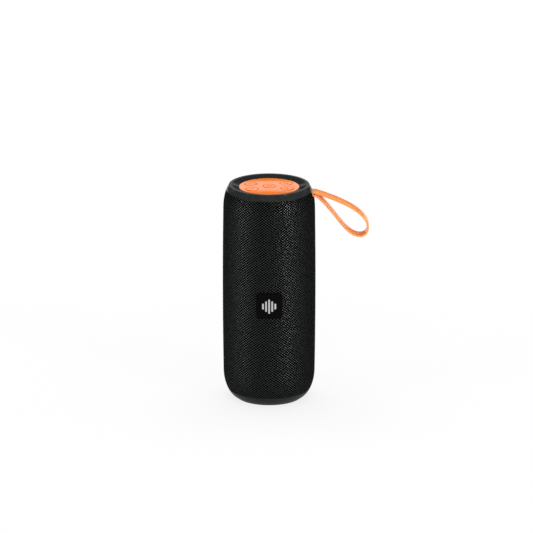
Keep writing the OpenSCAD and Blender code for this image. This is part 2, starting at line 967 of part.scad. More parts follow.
module radiator_surround() {
    color("#151515")
        translate([0, 0, radiator_z0 - glue])
            mirror([0, 0, 1])
                rotate_extrude()
                    polygon(roll_profile(plate_r, radiator_in_r));
}

module radiator_plate() {
    color("#3b3b3f")
        translate([0, 0, radiator_z0])
            cylinder(r = plate_r, h = plate_t);
}

module radiator_weight() {
    color("#9a9aa0")
        translate([0, 0, radiator_z0 + plate_t])
            cylinder(r = weight_r, h = weight_h);
}

// Chassis: modelled whole, then split at y = 0 into its front and rear halves
module chassis_box(r, z0, z1, front_y) {
    intersection() {
        translate([0, 0, z0])
            cylinder(r = r, h = z1 - z0);
        translate([-through / 2, front_y, 0])
            cube([through, through, through]);
    }
}

module at_driver(z) {
    translate([0, baffle_y, z])
        rotate([90, 0, 0])
            children();
}

module at_driver_screws() {
    for (x = [-1, 1]) for (y = [-1, 1])
        translate([x * driver_screw_at, y * driver_screw_at, 0])
            children();
}

module chassis_added() {
    for (z = driver_levels)
        at_driver(z)
            at_driver_screws()
                translate([0, 0, -screw_l])
                    cylinder(r = boss_r, h = screw_l - chassis_wall / 2);
    ring_of(post_ring_r, post_angles)
        translate([0, 0, chassis_floor - chassis_wall / 2])
            cylinder(r = boss_r, h = post_h + chassis_wall / 2);
    ring_of(base_screw_r, base_screw_angles)
        translate([0, 0, base_z1])
            cylinder(r = boss_r, h = chassis_z0 + chassis_wall / 2 - base_z1);
    for (p = key_board_screws)
        translate([p[0], p[1], chassis_z1 - chassis_wall / 2])
            cylinder(r = boss_r, h = key_board_z0 - chassis_z1 + chassis_wall / 2);
    intersection() {
        union() {
            for (x = [-clamp_x, clamp_x]) for (z = clamp_levels)
                translate([x, 0, z]) {
                    rotate([90, 0, 0])
                        cylinder(r = boss_r, h = screw_l);
                    rotate([-90, 0, 0])
                        cylinder(r = clamp_boss_r, h = chassis_r);
                }
            for (z = [cell_z0 + saddle_inset, cell_z1 - saddle_inset])
                translate([-saddle_half_w, cell_y, z - saddle_t / 2])
                    cube([2 * saddle_half_w, chassis_r, saddle_t]);
        }
        cylinder(r = chassis_r - chassis_wall / 2, h = through);
    }
}

module chassis_removed() {
    for (z = driver_levels)
        at_driver(z) {
            translate([0, 0, -2 * chassis_wall])
                cylinder(r = driver_hole_r, h = 3 * chassis_wall);
            at_driver_screws()
                translate([0, 0, 1 - screw_l])
                    cylinder(r = screw_r + fit, h = screw_l);
        }
    ring_of(post_ring_r, post_angles)
        translate([0, 0, chassis_floor])
            cylinder(r = screw_r + fit, h = post_h + 1);
    ring_of(base_screw_r, base_screw_angles)
        translate([0, 0, base_head_z])
            screw_hole();
    for (p = key_board_screws)
        translate([p[0], p[1], chassis_z1])
            cylinder(r = screw_r + fit, h = top_room);
    ring_of(collar_screw_r, collar_screw_angles)
        translate([0, 0, chassis_roof - chassis_wall])
            cylinder(r = screw_r + fit, h = 3 * chassis_wall);
    for (x = [-clamp_x, clamp_x]) for (z = clamp_levels)
        translate([x, clamp_head_y, z])
            rotate([90, 0, 0]) {
                cylinder(r = screw_r + fit, h = screw_l + glue);
                translate([0, 0, -chassis_r])
                    cylinder(r = screw_head_r + 2 * glue, h = chassis_r);
            }
    translate([0, cell_y, cell_z0 - 1])
        cylinder(r = cell_r + saddle_gap, h = cell_l + 2);
    to_back(port_z, 0, through)
        rounded(port_w + 2 * glue, port_h + 2 * glue, port_corner_r + glue);
    cylinder(r = radiator_hole_r, h = chassis_floor + 1);
    translate([cable_plug[0], cable_plug[1], chassis_z1])
        cube([cable_w, cable_t, 3 * chassis_wall] + 2 * cable_slot_gap * [1, 1, 0], center = true);
}

module chassis() {
    difference() {
        union() {
            difference() {
                chassis_box(chassis_r, chassis_z0, chassis_z1, baffle_y);
                chassis_box(chassis_in_r, chassis_floor, chassis_roof, baffle_y + chassis_wall);
            }
            chassis_added();
        }
        chassis_removed();
    }
}

module chassis_front() {
    color("#35353a")
        intersection() {
            chassis();
            translate([-through / 2, -through, 0])
                cube([through, through, through]);
        }
}

module chassis_rear() {
    color("#2a2a2e")
        intersection() {
            chassis();
            translate([-through / 2, 0, 0])
                cube([through, through, through]);
        }
}

module chassis_screws() {
    color("#b8b8bc")
        for (x = [-clamp_x, clamp_x]) for (z = clamp_levels)
            translate([x, clamp_head_y, z])
                rotate([90, 0, 0])
                    screw();
}

module collar_screws() {
    color("#b8b8bc")
        ring_of(collar_screw_r, collar_screw_angles)
            translate([0, 0, chassis_roof])
                screw();
}

// Drivers
module driver_baskets() {
    color("#55555a")
        for (z = driver_levels)
            at_driver(z)
                basket();
}

module basket() {
    difference() {
        union() {
            translate([0, 0, driver_gasket_t])
                linear_extrude(flange_t)
                    difference() {
                        intersection() {
                            square(driver_d, center = true);
                            circle(driver_ear_r);
                        }
                        circle(flange_in_r);
                    }
            rotate_extrude()
                polygon([
                    [basket_r - basket_wall, driver_gasket_t + flange_t / 2],
                    [basket_r, driver_gasket_t + flange_t / 2],
                    [basket_r, basket_neck_z],
                    [basket_foot_r, basket_z0],
                    [coil_r + coil_wall, basket_z0],
                    [coil_r + coil_wall, basket_z0 + basket_wall],
                    [basket_foot_r - basket_wall, basket_z0 + basket_wall],
                    [basket_r - basket_wall, basket_neck_z],
                ]);
            translate([-terminal[0] / 2, -terminal_out, terminal_z])
                cube(terminal);
        }
        at_driver_screws()
            cylinder(r = screw_r + fit, h = through);
        for (a = [45:90:315])
            rotate([0, 0, a])
                translate([basket_foot_r - 2 * basket_wall, -basket_window[0] / 2, basket_window_z])
                    cube([basket_window[0], basket_window[0], basket_window[1]]);
    }
}

module driver_magnets() {
    color("#3c3c3e")
        for (z = driver_levels)
            at_driver(z)
                tube(coil_r + 2 * coil_wall, magnet_r, magnet_z0, magnet_z1);
}

module driver_top_plates() {
    color("#8d8d92")
        for (z = driver_levels)
            at_driver(z)
                tube(coil_r + coil_gap, basket_foot_r, magnet_z1, basket_z0);
}

module driver_yokes() {
    color("#8d8d92")
        for (z = driver_levels)
            at_driver(z) {
                translate([0, 0, magnet_z0 - yoke_t])
                    cylinder(r = basket_foot_r, h = yoke_t);
                translate([0, 0, magnet_z0 - yoke_t / 2])
                    cylinder(r = coil_r - coil_wall - coil_gap, h = basket_z0 - magnet_z0 + yoke_t / 2);
            }
}

module driver_gaskets() {
    color("#3a3a3a")
        for (z = driver_levels)
            at_driver(z)
                tube(driver_hole_r + glue, driver_r - glue, 0, driver_gasket_t);
}

module driver_screws() {
    color("#b8b8bc")
        for (z = driver_levels)
            at_driver(z)
                at_driver_screws()
                    translate([0, 0, flange_z1])
                        mirror([0, 0, 1])
                            screw();
}

module cone() {
    color("#1c1c1e")
        rotate_extrude()
            polygon([
                [coil_r + fit, coil_top],
                [coil_r + fit + cone_t, coil_top],
                [cone_r - cone_rim, flange_z1 - cone_t],
                [cone_r, flange_z1 - cone_t],
                [cone_r, flange_z1],
                [coil_r + fit + cone_run, flange_z1],
                [coil_r + fit, coil_top + cone_foot_h],
            ]);
}

module dust_cap() {
    color("#222226")
        translate([0, 0, cap_z])
            rotate_extrude()
                polygon(concat(
                    arc(0, 0, cap_r, cap_h, 0, 90, side_steps),
                    arc(0, 0, cap_r - cap_t, cap_h - cap_t, 90, 0, side_steps)
                ));
}

module voice_coil() {
    color("#b06a34")
        tube(coil_r - coil_wall, coil_r, coil_top - coil_h, coil_top);
}

module surround() {
    color("#141416")
        translate([0, 0, flange_z1 + glue])
            rotate_extrude()
                polygon(roll_profile(cone_r + glue, flange_in_r + surround_seat));
}

module spider() {
    r0 = coil_r + glue;
    r1 = spider_r - 2 * glue;
    step = (spider_r - glue - r0) / spider_waves;
    wave = [for (i = [0:spider_waves - 1]) [r0 + step * i, spider_rise + (i % 2) * spider_wave]];
    color("#c9a24a")
        translate([0, 0, spider_z])
            rotate_extrude()
                polygon(concat(
                    wave,
                    [[r1, spider_rise], [r1, 0], [spider_r + spider_rim, 0]],
                    [[spider_r + spider_rim, spider_rise + spider_t], [r1, spider_rise + spider_t]],
                    reversed([for (p = wave) p + [0, spider_t]])
                ));
}

module upper_cone() {
    at_driver(upper_z)
        cone();
}

module upper_dust_cap() {
    at_driver(upper_z)
        dust_cap();
}

module upper_voice_coil() {
    at_driver(upper_z)
        voice_coil();
}

module upper_surround() {
    at_driver(upper_z)
        surround();
}

module upper_spider() {
    at_driver(upper_z)
        spider();
}

module lower_cone() {
    at_driver(lower_z)
        cone();
}

module lower_dust_cap() {
    at_driver(lower_z)
        dust_cap();
}

module lower_voice_coil() {
    at_driver(lower_z)
        voice_coil();
}

module lower_surround() {
    at_driver(lower_z)
        surround();
}

module lower_spider() {
    at_driver(lower_z)
        spider();
}

// Main board, what stands on it and the three ports
module main_board() {
    color("#1f6b3a")
        difference() {
            chassis_box(main_r, main_z0, main_z1, main_front_y);
            ring_of(post_ring_r, post_angles)
                cylinder(r = screw_r + fit, h = through);
        }
}

module standing_box(b) {
    translate([b[0] - b[2] / 2, b[1] - b[3] / 2, main_z1])
        cube([b[2], b[3], b[4]]);
}

module board_components() {
    color("#202024") {
        for (b = concat(chips, [speaker_plug, battery_plug, cable_plug]))
            standing_box(b);
        for (p = capacitors)
            translate([p[0], p[1], main_z1])
                cylinder(r = capacitor_r, h = capacitor_h);
    }
}

module stadium(w, h) {
    square([w - h, h], center = true);
    for (x = [-1, 1])
        translate([x * (w - h) / 2, 0])
            circle(h / 2);
}

module charge_socket() {
    z = main_z1 + charge_size[2] / 2;
    back_y = port_face_y - charge_size[1];
    color("#a9a9ad")
        translate([charge_x, 0, 0]) {
            difference() {
                to_back(z, back_y, port_face_y)
                    stadium(charge_size[0], charge_size[2]);
                to_back(z, back_y + 2 * charge_shell, port_face_y + 1)
                    stadium(charge_size[0] - 2 * charge_shell, charge_size[2] - 2 * charge_shell);
            }
            to_back(z, back_y + charge_shell, back_y + charge_tongue[1])
                square([charge_tongue[0], charge_tongue[2]], center = true);
        }
}

module audio_jack() {
    wall_y = port_floor_y - port_wall;
    color("#19191b")
        difference() {
            union() {
                to_back(main_z1 + jack_size[2] / 2, port_face_y - jack_size[1], wall_y - glue)
                    square([jack_size[0], jack_size[2]], center = true);
                to_back(port_z, wall_y - jack_nose_back, port_face_y)
                    circle(jack_nose_r - socket_gap);
            }
            to_back(port_z, port_face_y - jack_bore_l, port_face_y + 1)
                circle(jack_bore_d / 2);
        }
}

module card_slot() {
    z = main_z1 + card_size[2] / 2;
    color("#b4b4b8")
        translate([card_x, 0, 0])
            difference() {
                to_back(z, port_face_y - card_size[1], port_face_y)
                    square([card_size[0], card_size[2]], center = true);
                to_back(z, port_face_y - card_mouth[1], port_face_y + 1)
                    square([card_mouth[0], card_mouth[2]], center = true);
            }
}

module port_panel() {
    y0 = port_floor_y - port_wall;
    color("#1d1d1f")
        difference() {
            intersection() {
                body_solid(port_z - port_h, port_z + port_h, 0);
                to_back(port_z, y0, through)
                    rounded(port_w, port_h, port_corner_r);
            }
            to_back(port_z, port_floor_y, through)
                rounded(port_room_w, port_room_h, port_corner_r - port_wall / 2);
            translate([charge_x, 0, 0])
                to_back(main_z1 + charge_size[2] / 2, 0, through)
                    stadium(charge_size[0] + 2 * socket_gap, charge_size[2] + 2 * socket_gap);
            to_back(port_z, 0, through)
                circle(jack_nose_r);
            translate([card_x, 0, 0])
                to_back(main_z1 + card_size[2] / 2, 0, through)
                    square([card_size[0] + 2 * socket_gap, card_size[2] + 2 * socket_gap], center = true);
        }
}

// Silicone cover: a leaf that follows the barrel, with a round bead on its hinge line
module port_cover() {
    leaf_h = cover_low + cover_high;
    leaf_z = port_z + (cover_high - cover_low) / 2;
    color("#28282a") {
        intersection() {
            shell(port_z - port_h, port_z + port_h, 0, cover_t);
            to_back(leaf_z, port_floor_y + cover_floor_gap, through)
                rounded(port_room_w - 2 * cover_side_gap, leaf_h, cover_corner_r);
        }
        translate([0, cover_pin_y, cover_pin_z])
            along_x(cover_pin_r, cover_pin_l);
        translate([-cover_pin_l / 2, cover_pin_y - cover_pin_r, cover_pin_z])
            cube([cover_pin_l, cover_pin_r, cover_web]);
    }
}

module port_cover_seat() {
    seat_z0 = port_z - port_room_h / 2;
    seat_l = cover_pin_y - cover_pin_r + glue - port_floor_y;
    color("#28282a")
        difference() {
            translate([-cover_pin_l / 2, port_floor_y, seat_z0])
                cube([cover_pin_l, seat_l, cover_pin_z + cover_seat_top - seat_z0]);
            translate([0, cover_pin_y, cover_pin_z])
                along_x(cover_pin_r + cover_seat_gap, cover_pin_l + 1);
        }
}

// Battery
module battery_cell() {
    color("#3f7fb5")
        translate([0, cell_y, cell_z0]) {
            cylinder(r = cell_r, h = cell_l - cell_cap_h);
            cylinder(r = cell_cap_r, h = cell_l);
        }
}

// Leads: a round tube swept along hand-chosen points
sweep_hint = [0.6, 0.8, 0];

function unit(v) = v / norm(v);

function heading(path, i) =
    unit(path[min(i + 1, len(path) - 1)] - path[max(i - 1, 0)]);

function sweep_ring(path, i) =
    let (t = heading(path, i), u = unit(cross(sweep_hint, t)), v = cross(t, u))
    [for (k = [0:wire_sides - 1])
        path[i] + wire_r * (cos(360 * k / wire_sides) * u + sin(360 * k / wire_sides) * v)];

module wire(path) {
    n = wire_sides;
    last = (len(path) - 1) * n;
    polyhedron(
        points = [for (i = [0:len(path) - 1]) each sweep_ring(path, i)],
        faces = concat(
            [for (i = [0:len(path) - 2]) for (k = [0:n - 1])
                each [
                    [i * n + k, (i + 1) * n + k, i * n + (k + 1) % n],
                    [i * n + (k + 1) % n, (i + 1) * n + k, (i + 1) * n + (k + 1) % n],
                ]],
            [for (k = [1:n - 2]) [0, k, k + 1]],
            [for (k = [1:n - 2]) [last, last + k + 1, last + k]]
        )
    );
}

module battery_leads() {
    color("#b02020") {
        wire([
            [0, cell_y, cell_z1 + glue], [0, cell_y, cell_z1 + 2], [-5, cell_y, cell_z1 + 4],
            [-11, cell_y, cell_z1 + 1], [-12, cell_y + 1, cell_z1 - 6], [-12, cell_y + 1, cell_z0 + 10],
            [-13, cell_y - 3, cell_z0 - 6], [-14.5, 8, battery_plug_z + 8], [-14.5, 8, battery_plug_z],
        ]);
        wire([
            [0, cell_y, cell_z0 - glue], [0, cell_y, cell_z0 - 2], [-4, cell_y - 1, cell_z0 - 5],
            [-9, cell_y - 5, battery_plug_z + 11], [-11.5, 8, battery_plug_z + 6], [-11.5, 8, battery_plug_z],
        ]);
    }
}

module speaker_leads() {
    plug_y = speaker_plug[1];
    lead_y = baffle_y + 6;
    low = lower_z - terminal_out - glue;
    high = upper_z - terminal_out - glue;
    color("#202020") {
        for (x = [-4.5, -1.5])
            wire([[x / 2 - 0.5, lead_y, low], [x / 2 - 0.5, lead_y, low - 1.5],
                [x, plug_y, speaker_plug_z + 1.5], [x, plug_y, speaker_plug_z]]);
        wire([
            [2.5, lead_y, high], [2.5, lead_y, high - 3], [4, -5, high - 8], [14, 4, high - 18],
            [side_run_x, 8, high - 28], [side_run_x, 8, lower_z - 8], [14, 4, speaker_plug_z + 6],
            [6, -4, speaker_plug_z + 3], [4.5, plug_y, speaker_plug_z + 1.2], [4.5, plug_y, speaker_plug_z],
        ]);
        wire([
            [-2.5, lead_y, high], [-2.5, lead_y, high - 3], [-1, -4, high - 9], [13, 7, high - 21],
            [side_run_x, 10.6, high - 32], [side_run_x, 10.6, lower_z - 5], [13, 7, speaker_plug_z + 8],
            [3, -3, speaker_plug_z + 4], [1.5, plug_y, speaker_plug_z + 1.5], [1.5, plug_y, speaker_plug_z],
        ]);
    }
}

// Flat cable from the keypad board down to the main board
module keypad_cable() {
    y = cable_plug[1];
    z0 = main_z1 + cable_plug[4] + glue;
    z1 = chassis_z1 + cable_turn_drop;
    color("#e8e4d8")
        translate([cable_plug[0] - cable_w / 2, 0, 0]) {
            translate([0, y - cable_t / 2, z0])
                cube([cable_w, cable_t, z1 - z0]);
            translate([0, cable_turn_y - cable_t / 2, z1 - cable_t])
                cube([cable_w, y - cable_turn_y + cable_t, cable_t]);
            translate([0, cable_turn_y - cable_t / 2, z1 - cable_t])
                cube([cable_w, cable_t, key_board_z0 - cable_plug_h - glue - z1 + cable_t]);
        }
}

fabric_sleeve();
grille_tube();
top_ring();
keypad();
key_power();
key_play();
key_mode();
key_minus();
key_plus();
indicator_lenses();
keypad_board();
tact_switches();
status_lamps();
board_screws();
badge_plate();
badge_bars();
strap_loop();
strap_anchor();
strap_pin();
base_ring();
foot_pads();
base_screws();
radiator_frame();
radiator_gasket();
radiator_surround();
radiator_plate();
radiator_weight();
chassis_front();
chassis_rear();
chassis_screws();
collar_screws();
driver_baskets();
driver_magnets();
driver_top_plates();
driver_yokes();
driver_gaskets();
driver_screws();
upper_cone();
upper_dust_cap();
upper_voice_coil();
upper_surround();
upper_spider();
lower_cone();
lower_dust_cap();
lower_voice_coil();
lower_surround();
lower_spider();
main_board();
board_components();
charge_socket();
audio_jack();
card_slot();
port_panel();
port_cover();
port_cover_seat();
battery_cell();
battery_leads();
speaker_leads();
keypad_cable();
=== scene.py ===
# %% [markdown]
# # A portable speaker in mesh cloth
# The speaker is a barrel of moulded plastic inside a knitted mesh sleeve, with an orange keypad on top
# and an orange silicone strap at the side. The frame brings every piece of its construction in metres,
# standing on the floor at the origin with the badge towards -Y. This lesson adds what a construction
# drawing can't hold: the cloth, the bent strap, and the finish of every surface.

# %% Load the frame
import json
import math
import bpy
import numpy as np
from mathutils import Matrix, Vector


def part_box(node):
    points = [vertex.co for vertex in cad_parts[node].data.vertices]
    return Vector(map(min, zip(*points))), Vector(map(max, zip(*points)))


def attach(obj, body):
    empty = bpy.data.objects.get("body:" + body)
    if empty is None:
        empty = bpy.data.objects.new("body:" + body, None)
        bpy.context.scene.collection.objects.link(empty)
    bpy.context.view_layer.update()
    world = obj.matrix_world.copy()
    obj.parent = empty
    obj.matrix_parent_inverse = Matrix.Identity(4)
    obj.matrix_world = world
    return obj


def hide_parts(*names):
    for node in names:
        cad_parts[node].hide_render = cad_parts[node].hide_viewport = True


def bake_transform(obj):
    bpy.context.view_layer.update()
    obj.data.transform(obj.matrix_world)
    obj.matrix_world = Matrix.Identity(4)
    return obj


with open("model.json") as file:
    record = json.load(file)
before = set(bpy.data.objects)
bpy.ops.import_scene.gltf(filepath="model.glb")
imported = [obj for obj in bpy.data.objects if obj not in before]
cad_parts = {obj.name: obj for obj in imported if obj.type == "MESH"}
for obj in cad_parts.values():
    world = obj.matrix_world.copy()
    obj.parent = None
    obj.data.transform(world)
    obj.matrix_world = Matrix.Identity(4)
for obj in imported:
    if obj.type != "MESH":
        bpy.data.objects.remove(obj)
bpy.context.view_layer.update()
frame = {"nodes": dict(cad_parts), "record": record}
MM = 0.001

# %% [markdown]
# ## Where the photographer stood
# A picture has to be taken from somewhere before any finish can be judged. The rims of the keypad show as
# ellipses, and their flatness gives a view from about 17 degrees above the horizon. A long lens from 4 m
# away keeps the sides of the barrel nearly parallel. The camera could be shifted to frame the speaker low
# in the picture, but turning it a little upwards does the same and leaves every other view centred.

# %% Camera
PHOTO_SIDE = 533
METRES_PER_PIXEL = 0.7532 * MM
CAMERA_DISTANCE = 4.0
CAMERA_ELEVATION = math.radians(17.1)
SPEAKER_MIDDLE = Vector((0, 0, 83.5 * MM))
MIDDLE_RIGHT_PX, MIDDLE_DOWN_PX = 2.65, 23.3
SENSOR_MM = 36
FAR_CLIP = 50.0


def make_camera():
    """A camera facing the speaker, turned a little so that its middle lies where the picture has it."""
    lean = CAMERA_ELEVATION
    back = Vector((0, -math.cos(lean), math.sin(lean)))
    up = Vector((0, math.sin(lean), math.cos(lean)))
    right = Vector((1, 0, 0))
    aim = SPEAKER_MIDDLE + (up * MIDDLE_DOWN_PX - right * MIDDLE_RIGHT_PX) * METRES_PER_PIXEL
    data = bpy.data.cameras.new("studio_camera")
    data.sensor_width = SENSOR_MM
    data.lens = SENSOR_MM * CAMERA_DISTANCE / (METRES_PER_PIXEL * PHOTO_SIDE)
    data.clip_end = FAR_CLIP
    camera = bpy.data.objects.new("studio_camera", data)
    camera.location = SPEAKER_MIDDLE + back * CAMERA_DISTANCE
    camera.rotation_mode = "QUATERNION"
    camera.rotation_quaternion = (aim - camera.location).to_track_quat("-Z", "Y")
    bpy.context.scene.collection.objects.link(camera)
    bpy.context.scene.camera = camera
    return camera


camera = make_camera()
print("lens:", round(camera.data.lens, 1), "mm")

# %% [markdown]
# ## Building blocks for shaders
# Every finish below is a Principled shader fed by procedural patterns, so each starts with the same few
# lines: a new material, its shader, and links between sockets. Colours are written as they look on a
# screen and are turned into the linear values that the renderer counts in.

# %% Shader helpers


def paint(code):
    """Linear colour of a screen code: channel c is c/12.92 if small, else ((c + 0.055)/1.055) to the 2.4."""
    c = np.array([int(code[i:i + 2], 16) for i in (1, 3, 5)]) / 255
    return (*np.where(c <= 0.04045, c / 12.92, ((c + 0.055) / 1.055) ** 2.4).tolist(), 1)


def add(tree, kind, **values):
    """A new node whose named properties or input sockets take the given values."""
    node = tree.nodes.new(kind)
    for name, value in values.items():
        if hasattr(node, name):
            setattr(node, name, value)
        else:
            node.inputs[name.replace("_", " ")].default_value = value
    return node


def join(tree, source, target):
    """One link from an output socket to an input socket."""
    tree.links.new(source, target)


def blank(name):
    """A new material with its node tree and its Principled shader."""
    material = bpy.data.materials.new(name)
    material.use_nodes = True
    return material, material.node_tree, material.node_tree.nodes["Principled BSDF"]


def new_group(name, inputs, outputs):
    """A shader node group with float inputs and the given outputs, and its two end nodes."""
    group = bpy.data.node_groups.new(name, "ShaderNodeTree")
    for label, value in inputs.items():
        socket = group.interface.new_socket(label, in_out="INPUT", socket_type="NodeSocketFloat")
        socket.default_value = value
    for label, kind in outputs.items():
        group.interface.new_socket(label, in_out="OUTPUT", socket_type="NodeSocket" + kind)
    return group, group.nodes.new("NodeGroupInput"), group.nodes.new("NodeGroupOutput")


def use_group(tree, group, **values):
    """A placed group with its inputs set."""
    node = tree.nodes.new("ShaderNodeGroup")
    node.node_tree = group
    for name, value in values.items():
        node.inputs[name.replace("_", " ")].default_value = value
    return node


def two_tone(tree, mask, low, high):
    """A colour that goes from low to high as the mask goes from 0 to 1."""
    mix = add(tree, "ShaderNodeMix", data_type="RGBA")
    mix.inputs["A"].default_value = low
    mix.inputs["B"].default_value = high
    join(tree, mask, mix.inputs["Factor"])
    return mix.outputs["Result"]


print("shader helpers ready")

# %% [markdown]
# ## Grain of moulded and rubbery surfaces
# A moulded part is never perfectly smooth: the mould is eroded to a fine texture that scatters light, and
# large faces vary a little from place to place. Displacing the mesh that finely would cost millions of
# faces, so a group makes the grain from noise on the part's own coordinates, as a roughness, a normal and
# a slow tint.

# %% Group: moulded grain
ROUGH_NOISE = (0.3, 0.7)
TINT_NOISE = (0.35, 0.65)


def make_grain_group():
    """Fine noise gives a roughness between two limits and a bumped normal; slow noise a tint from 0 to 1."""
    group, start, end = new_group(
        "moulded_grain",
        {"Grain": 2500, "Depth": 1.5e-5, "Patch": 45, "Low": 0.4, "High": 0.5},
        {"Roughness": "Float", "Normal": "Vector", "Tint": "Float"},
    )
    place = add(group, "ShaderNodeTexCoord")
    fine = add(group, "ShaderNodeTexNoise", Detail=2.0)
    slow = add(group, "ShaderNodeTexNoise", Detail=3.0)
    bump = add(group, "ShaderNodeBump", Strength=1.0)
    rough = add(group, "ShaderNodeMapRange", From_Min=ROUGH_NOISE[0], From_Max=ROUGH_NOISE[1])
    tint = add(group, "ShaderNodeMapRange", From_Min=TINT_NOISE[0], From_Max=TINT_NOISE[1])
    join(group, place.outputs["Object"], fine.inputs["Vector"])
    join(group, place.outputs["Object"], slow.inputs["Vector"])
    join(group, start.outputs["Grain"], fine.inputs["Scale"])
    join(group, start.outputs["Patch"], slow.inputs["Scale"])
    join(group, start.outputs["Depth"], bump.inputs["Distance"])
    join(group, fine.outputs["Fac"], bump.inputs["Height"])
    join(group, fine.outputs["Fac"], rough.inputs["Value"])
    join(group, start.outputs["Low"], rough.inputs["To Min"])
    join(group, start.outputs["High"], rough.inputs["To Max"])
    join(group, slow.outputs["Fac"], tint.inputs["Value"])
    join(group, rough.outputs["Result"], end.inputs["Roughness"])
    join(group, bump.outputs["Normal"], end.inputs["Normal"])
    join(group, tint.outputs["Result"], end.inputs["Tint"])
    return group


GRAIN = make_grain_group()


def moulded(name, low, high, rough, grain=2500, depth=1.5e-5, patch=45, metal=0.0, level=0.5):
    """A moulded finish: two close colours, a roughness range, and grain of a given scale and depth in m."""
    material, tree, shader = blank(name)
    texture = use_group(tree, GRAIN, Grain=grain, Depth=depth, Patch=patch, Low=rough[0], High=rough[1])
    colour = two_tone(tree, texture.outputs["Tint"], paint(low), paint(high))
    join(tree, colour, shader.inputs["Base Color"])
    join(tree, texture.outputs["Roughness"], shader.inputs["Roughness"])
    join(tree, texture.outputs["Normal"], shader.inputs["Normal"])
    shader.inputs["Metallic"].default_value = metal
    shader.inputs["Specular IOR Level"].default_value = level
    return material


print("group:", GRAIN.name)

# %% [markdown]
# ## Floor and light
# The picture was taken on white, with the light coming from both sides: the mesh is brightest to the left
# and right of the middle, and dark at the middle and at the edges. Two low softboxes do that, one well
# round to the left and one half right. They stand too low for the keypad to mirror them. A large softbox
# above lights the keypad, and a weak one in front puts the soft gleam on the collar. White paper on the
# floor keeps a soft shadow. It shows itself to the camera and in reflections as white, and wholly so away
# from the speaker, so the object needn't be flooded with light to make the paper white.

# %% Softboxes
# name, place in metres, width and height in metres, power in watts
SOFTBOXES = [
    ("softbox_left", (-1.53, -0.8, 0.2), (0.4, 0.36), 14),
    ("softbox_right", (1.2, -1.24, 0.2), (0.4, 0.36), 20),
    ("softbox_front", (0, -1.4, 1.3), (1.2, 0.4), 5),
    ("softbox_top", (0, 0.5, 1.9), (1.6, 1.0), 21),
]


def softbox(name, place, size, power):
    """A rectangular light at a place in metres, facing the speaker's middle."""
    data = bpy.data.lights.new(name, "AREA")
    data.shape = "RECTANGLE"
    data.size, data.size_y = size
    data.energy = power
    light = bpy.data.objects.new(name, data)
    light.location = place
    light.rotation_mode = "QUATERNION"
    light.rotation_quaternion = (SPEAKER_MIDDLE - Vector(place)).to_track_quat("-Z", "Y")
    bpy.context.scene.collection.objects.link(light)
    return light


lights = [softbox(*row) for row in SOFTBOXES]
print("lights:", len(lights))

# %% Floor and surroundings
FLOOR_HALF = 9.0
PAPER_GREY, PAPER_ROUGH = 0.84, 0.9
# the share of plain white near the speaker and away from it, and the distances between which it grows
PAPER_NEAR, PAPER_FAR = 0.8, 1.0
PAPER_FADE = (0.1, 0.45)
# the card as parts of a direction of length 1: its lower and upper edge, their softness, and how far behind
CARD = (math.sin(math.radians(13.5)), math.sin(math.radians(18.5)))
CARD_EDGE = 0.004
CARD_BEHIND = (0.2, 0.4)
GLOSS_GREY, FILL_GREY = 0.04, 0.5


def grey(value):
    """A colour with the same linear value in all channels."""
    return (value, value, value, 1)


def seen_rays(tree):
    """1 for rays from the camera, from a glossy surface or through glass, else 0."""
    path = add(tree, "ShaderNodeLightPath")
    first = add(tree, "ShaderNodeMath", operation="MAXIMUM")
    both = add(tree, "ShaderNodeMath", operation="MAXIMUM")
    join(tree, path.outputs["Is Camera Ray"], first.inputs[0])
    join(tree, path.outputs["Is Glossy Ray"], first.inputs[1])
    join(tree, first.outputs["Value"], both.inputs[0])
    join(tree, path.outputs["Is Transmission Ray"], both.inputs[1])
    return both.outputs["Value"]


def make_floor():
    """A square sheet of matt paper, mixed with plain white for rays that see it, and clear from below."""
    mesh = bpy.data.meshes.new("studio_floor")
    h = FLOOR_HALF
    mesh.from_pydata([(-h, -h, 0), (h, -h, 0), (h, h, 0), (-h, h, 0)], [], [(0, 1, 2, 3)])
    floor = bpy.data.objects.new("studio_floor", mesh)
    bpy.context.scene.collection.objects.link(floor)
    material, tree, shader = blank("white_paper")
    shader.inputs["Base Color"].default_value = grey(PAPER_GREY)
    shader.inputs["Roughness"].default_value = PAPER_ROUGH
    shader.inputs["Specular IOR Level"].default_value = 0.0
    white = add(tree, "ShaderNodeEmission", Color=grey(1), Strength=1.0)
    share = add(tree, "ShaderNodeMath", operation="MULTIPLY")
    place = add(tree, "ShaderNodeTexCoord")
    away = add(tree, "ShaderNodeVectorMath", operation="LENGTH")
    fade = add(
        tree, "ShaderNodeMapRange", interpolation_type="SMOOTHSTEP",
        From_Min=PAPER_FADE[0], From_Max=PAPER_FADE[1], To_Min=PAPER_NEAR, To_Max=PAPER_FAR
    )
    join(tree, place.outputs["Object"], away.inputs["Vector"])
    join(tree, away.outputs["Value"], fade.inputs["Value"])
    join(tree, fade.outputs["Result"], share.inputs[1])
    lit = add(tree, "ShaderNodeMixShader")
    clear = add(tree, "ShaderNodeBsdfTransparent")
    side = add(tree, "ShaderNodeNewGeometry")
    sheet = add(tree, "ShaderNodeMixShader")
    join(tree, seen_rays(tree), share.inputs[0])
    join(tree, share.outputs["Value"], lit.inputs["Fac"])
    join(tree, shader.outputs["BSDF"], lit.inputs[1])
    join(tree, white.outputs["Emission"], lit.inputs[2])
    join(tree, side.outputs["Backfacing"], sheet.inputs["Fac"])
    join(tree, lit.outputs["Shader"], sheet.inputs[1])
    join(tree, clear.outputs["BSDF"], sheet.inputs[2])
    join(tree, sheet.outputs["Shader"], tree.nodes["Material Output"].inputs["Surface"])
    mesh.materials.append(material)


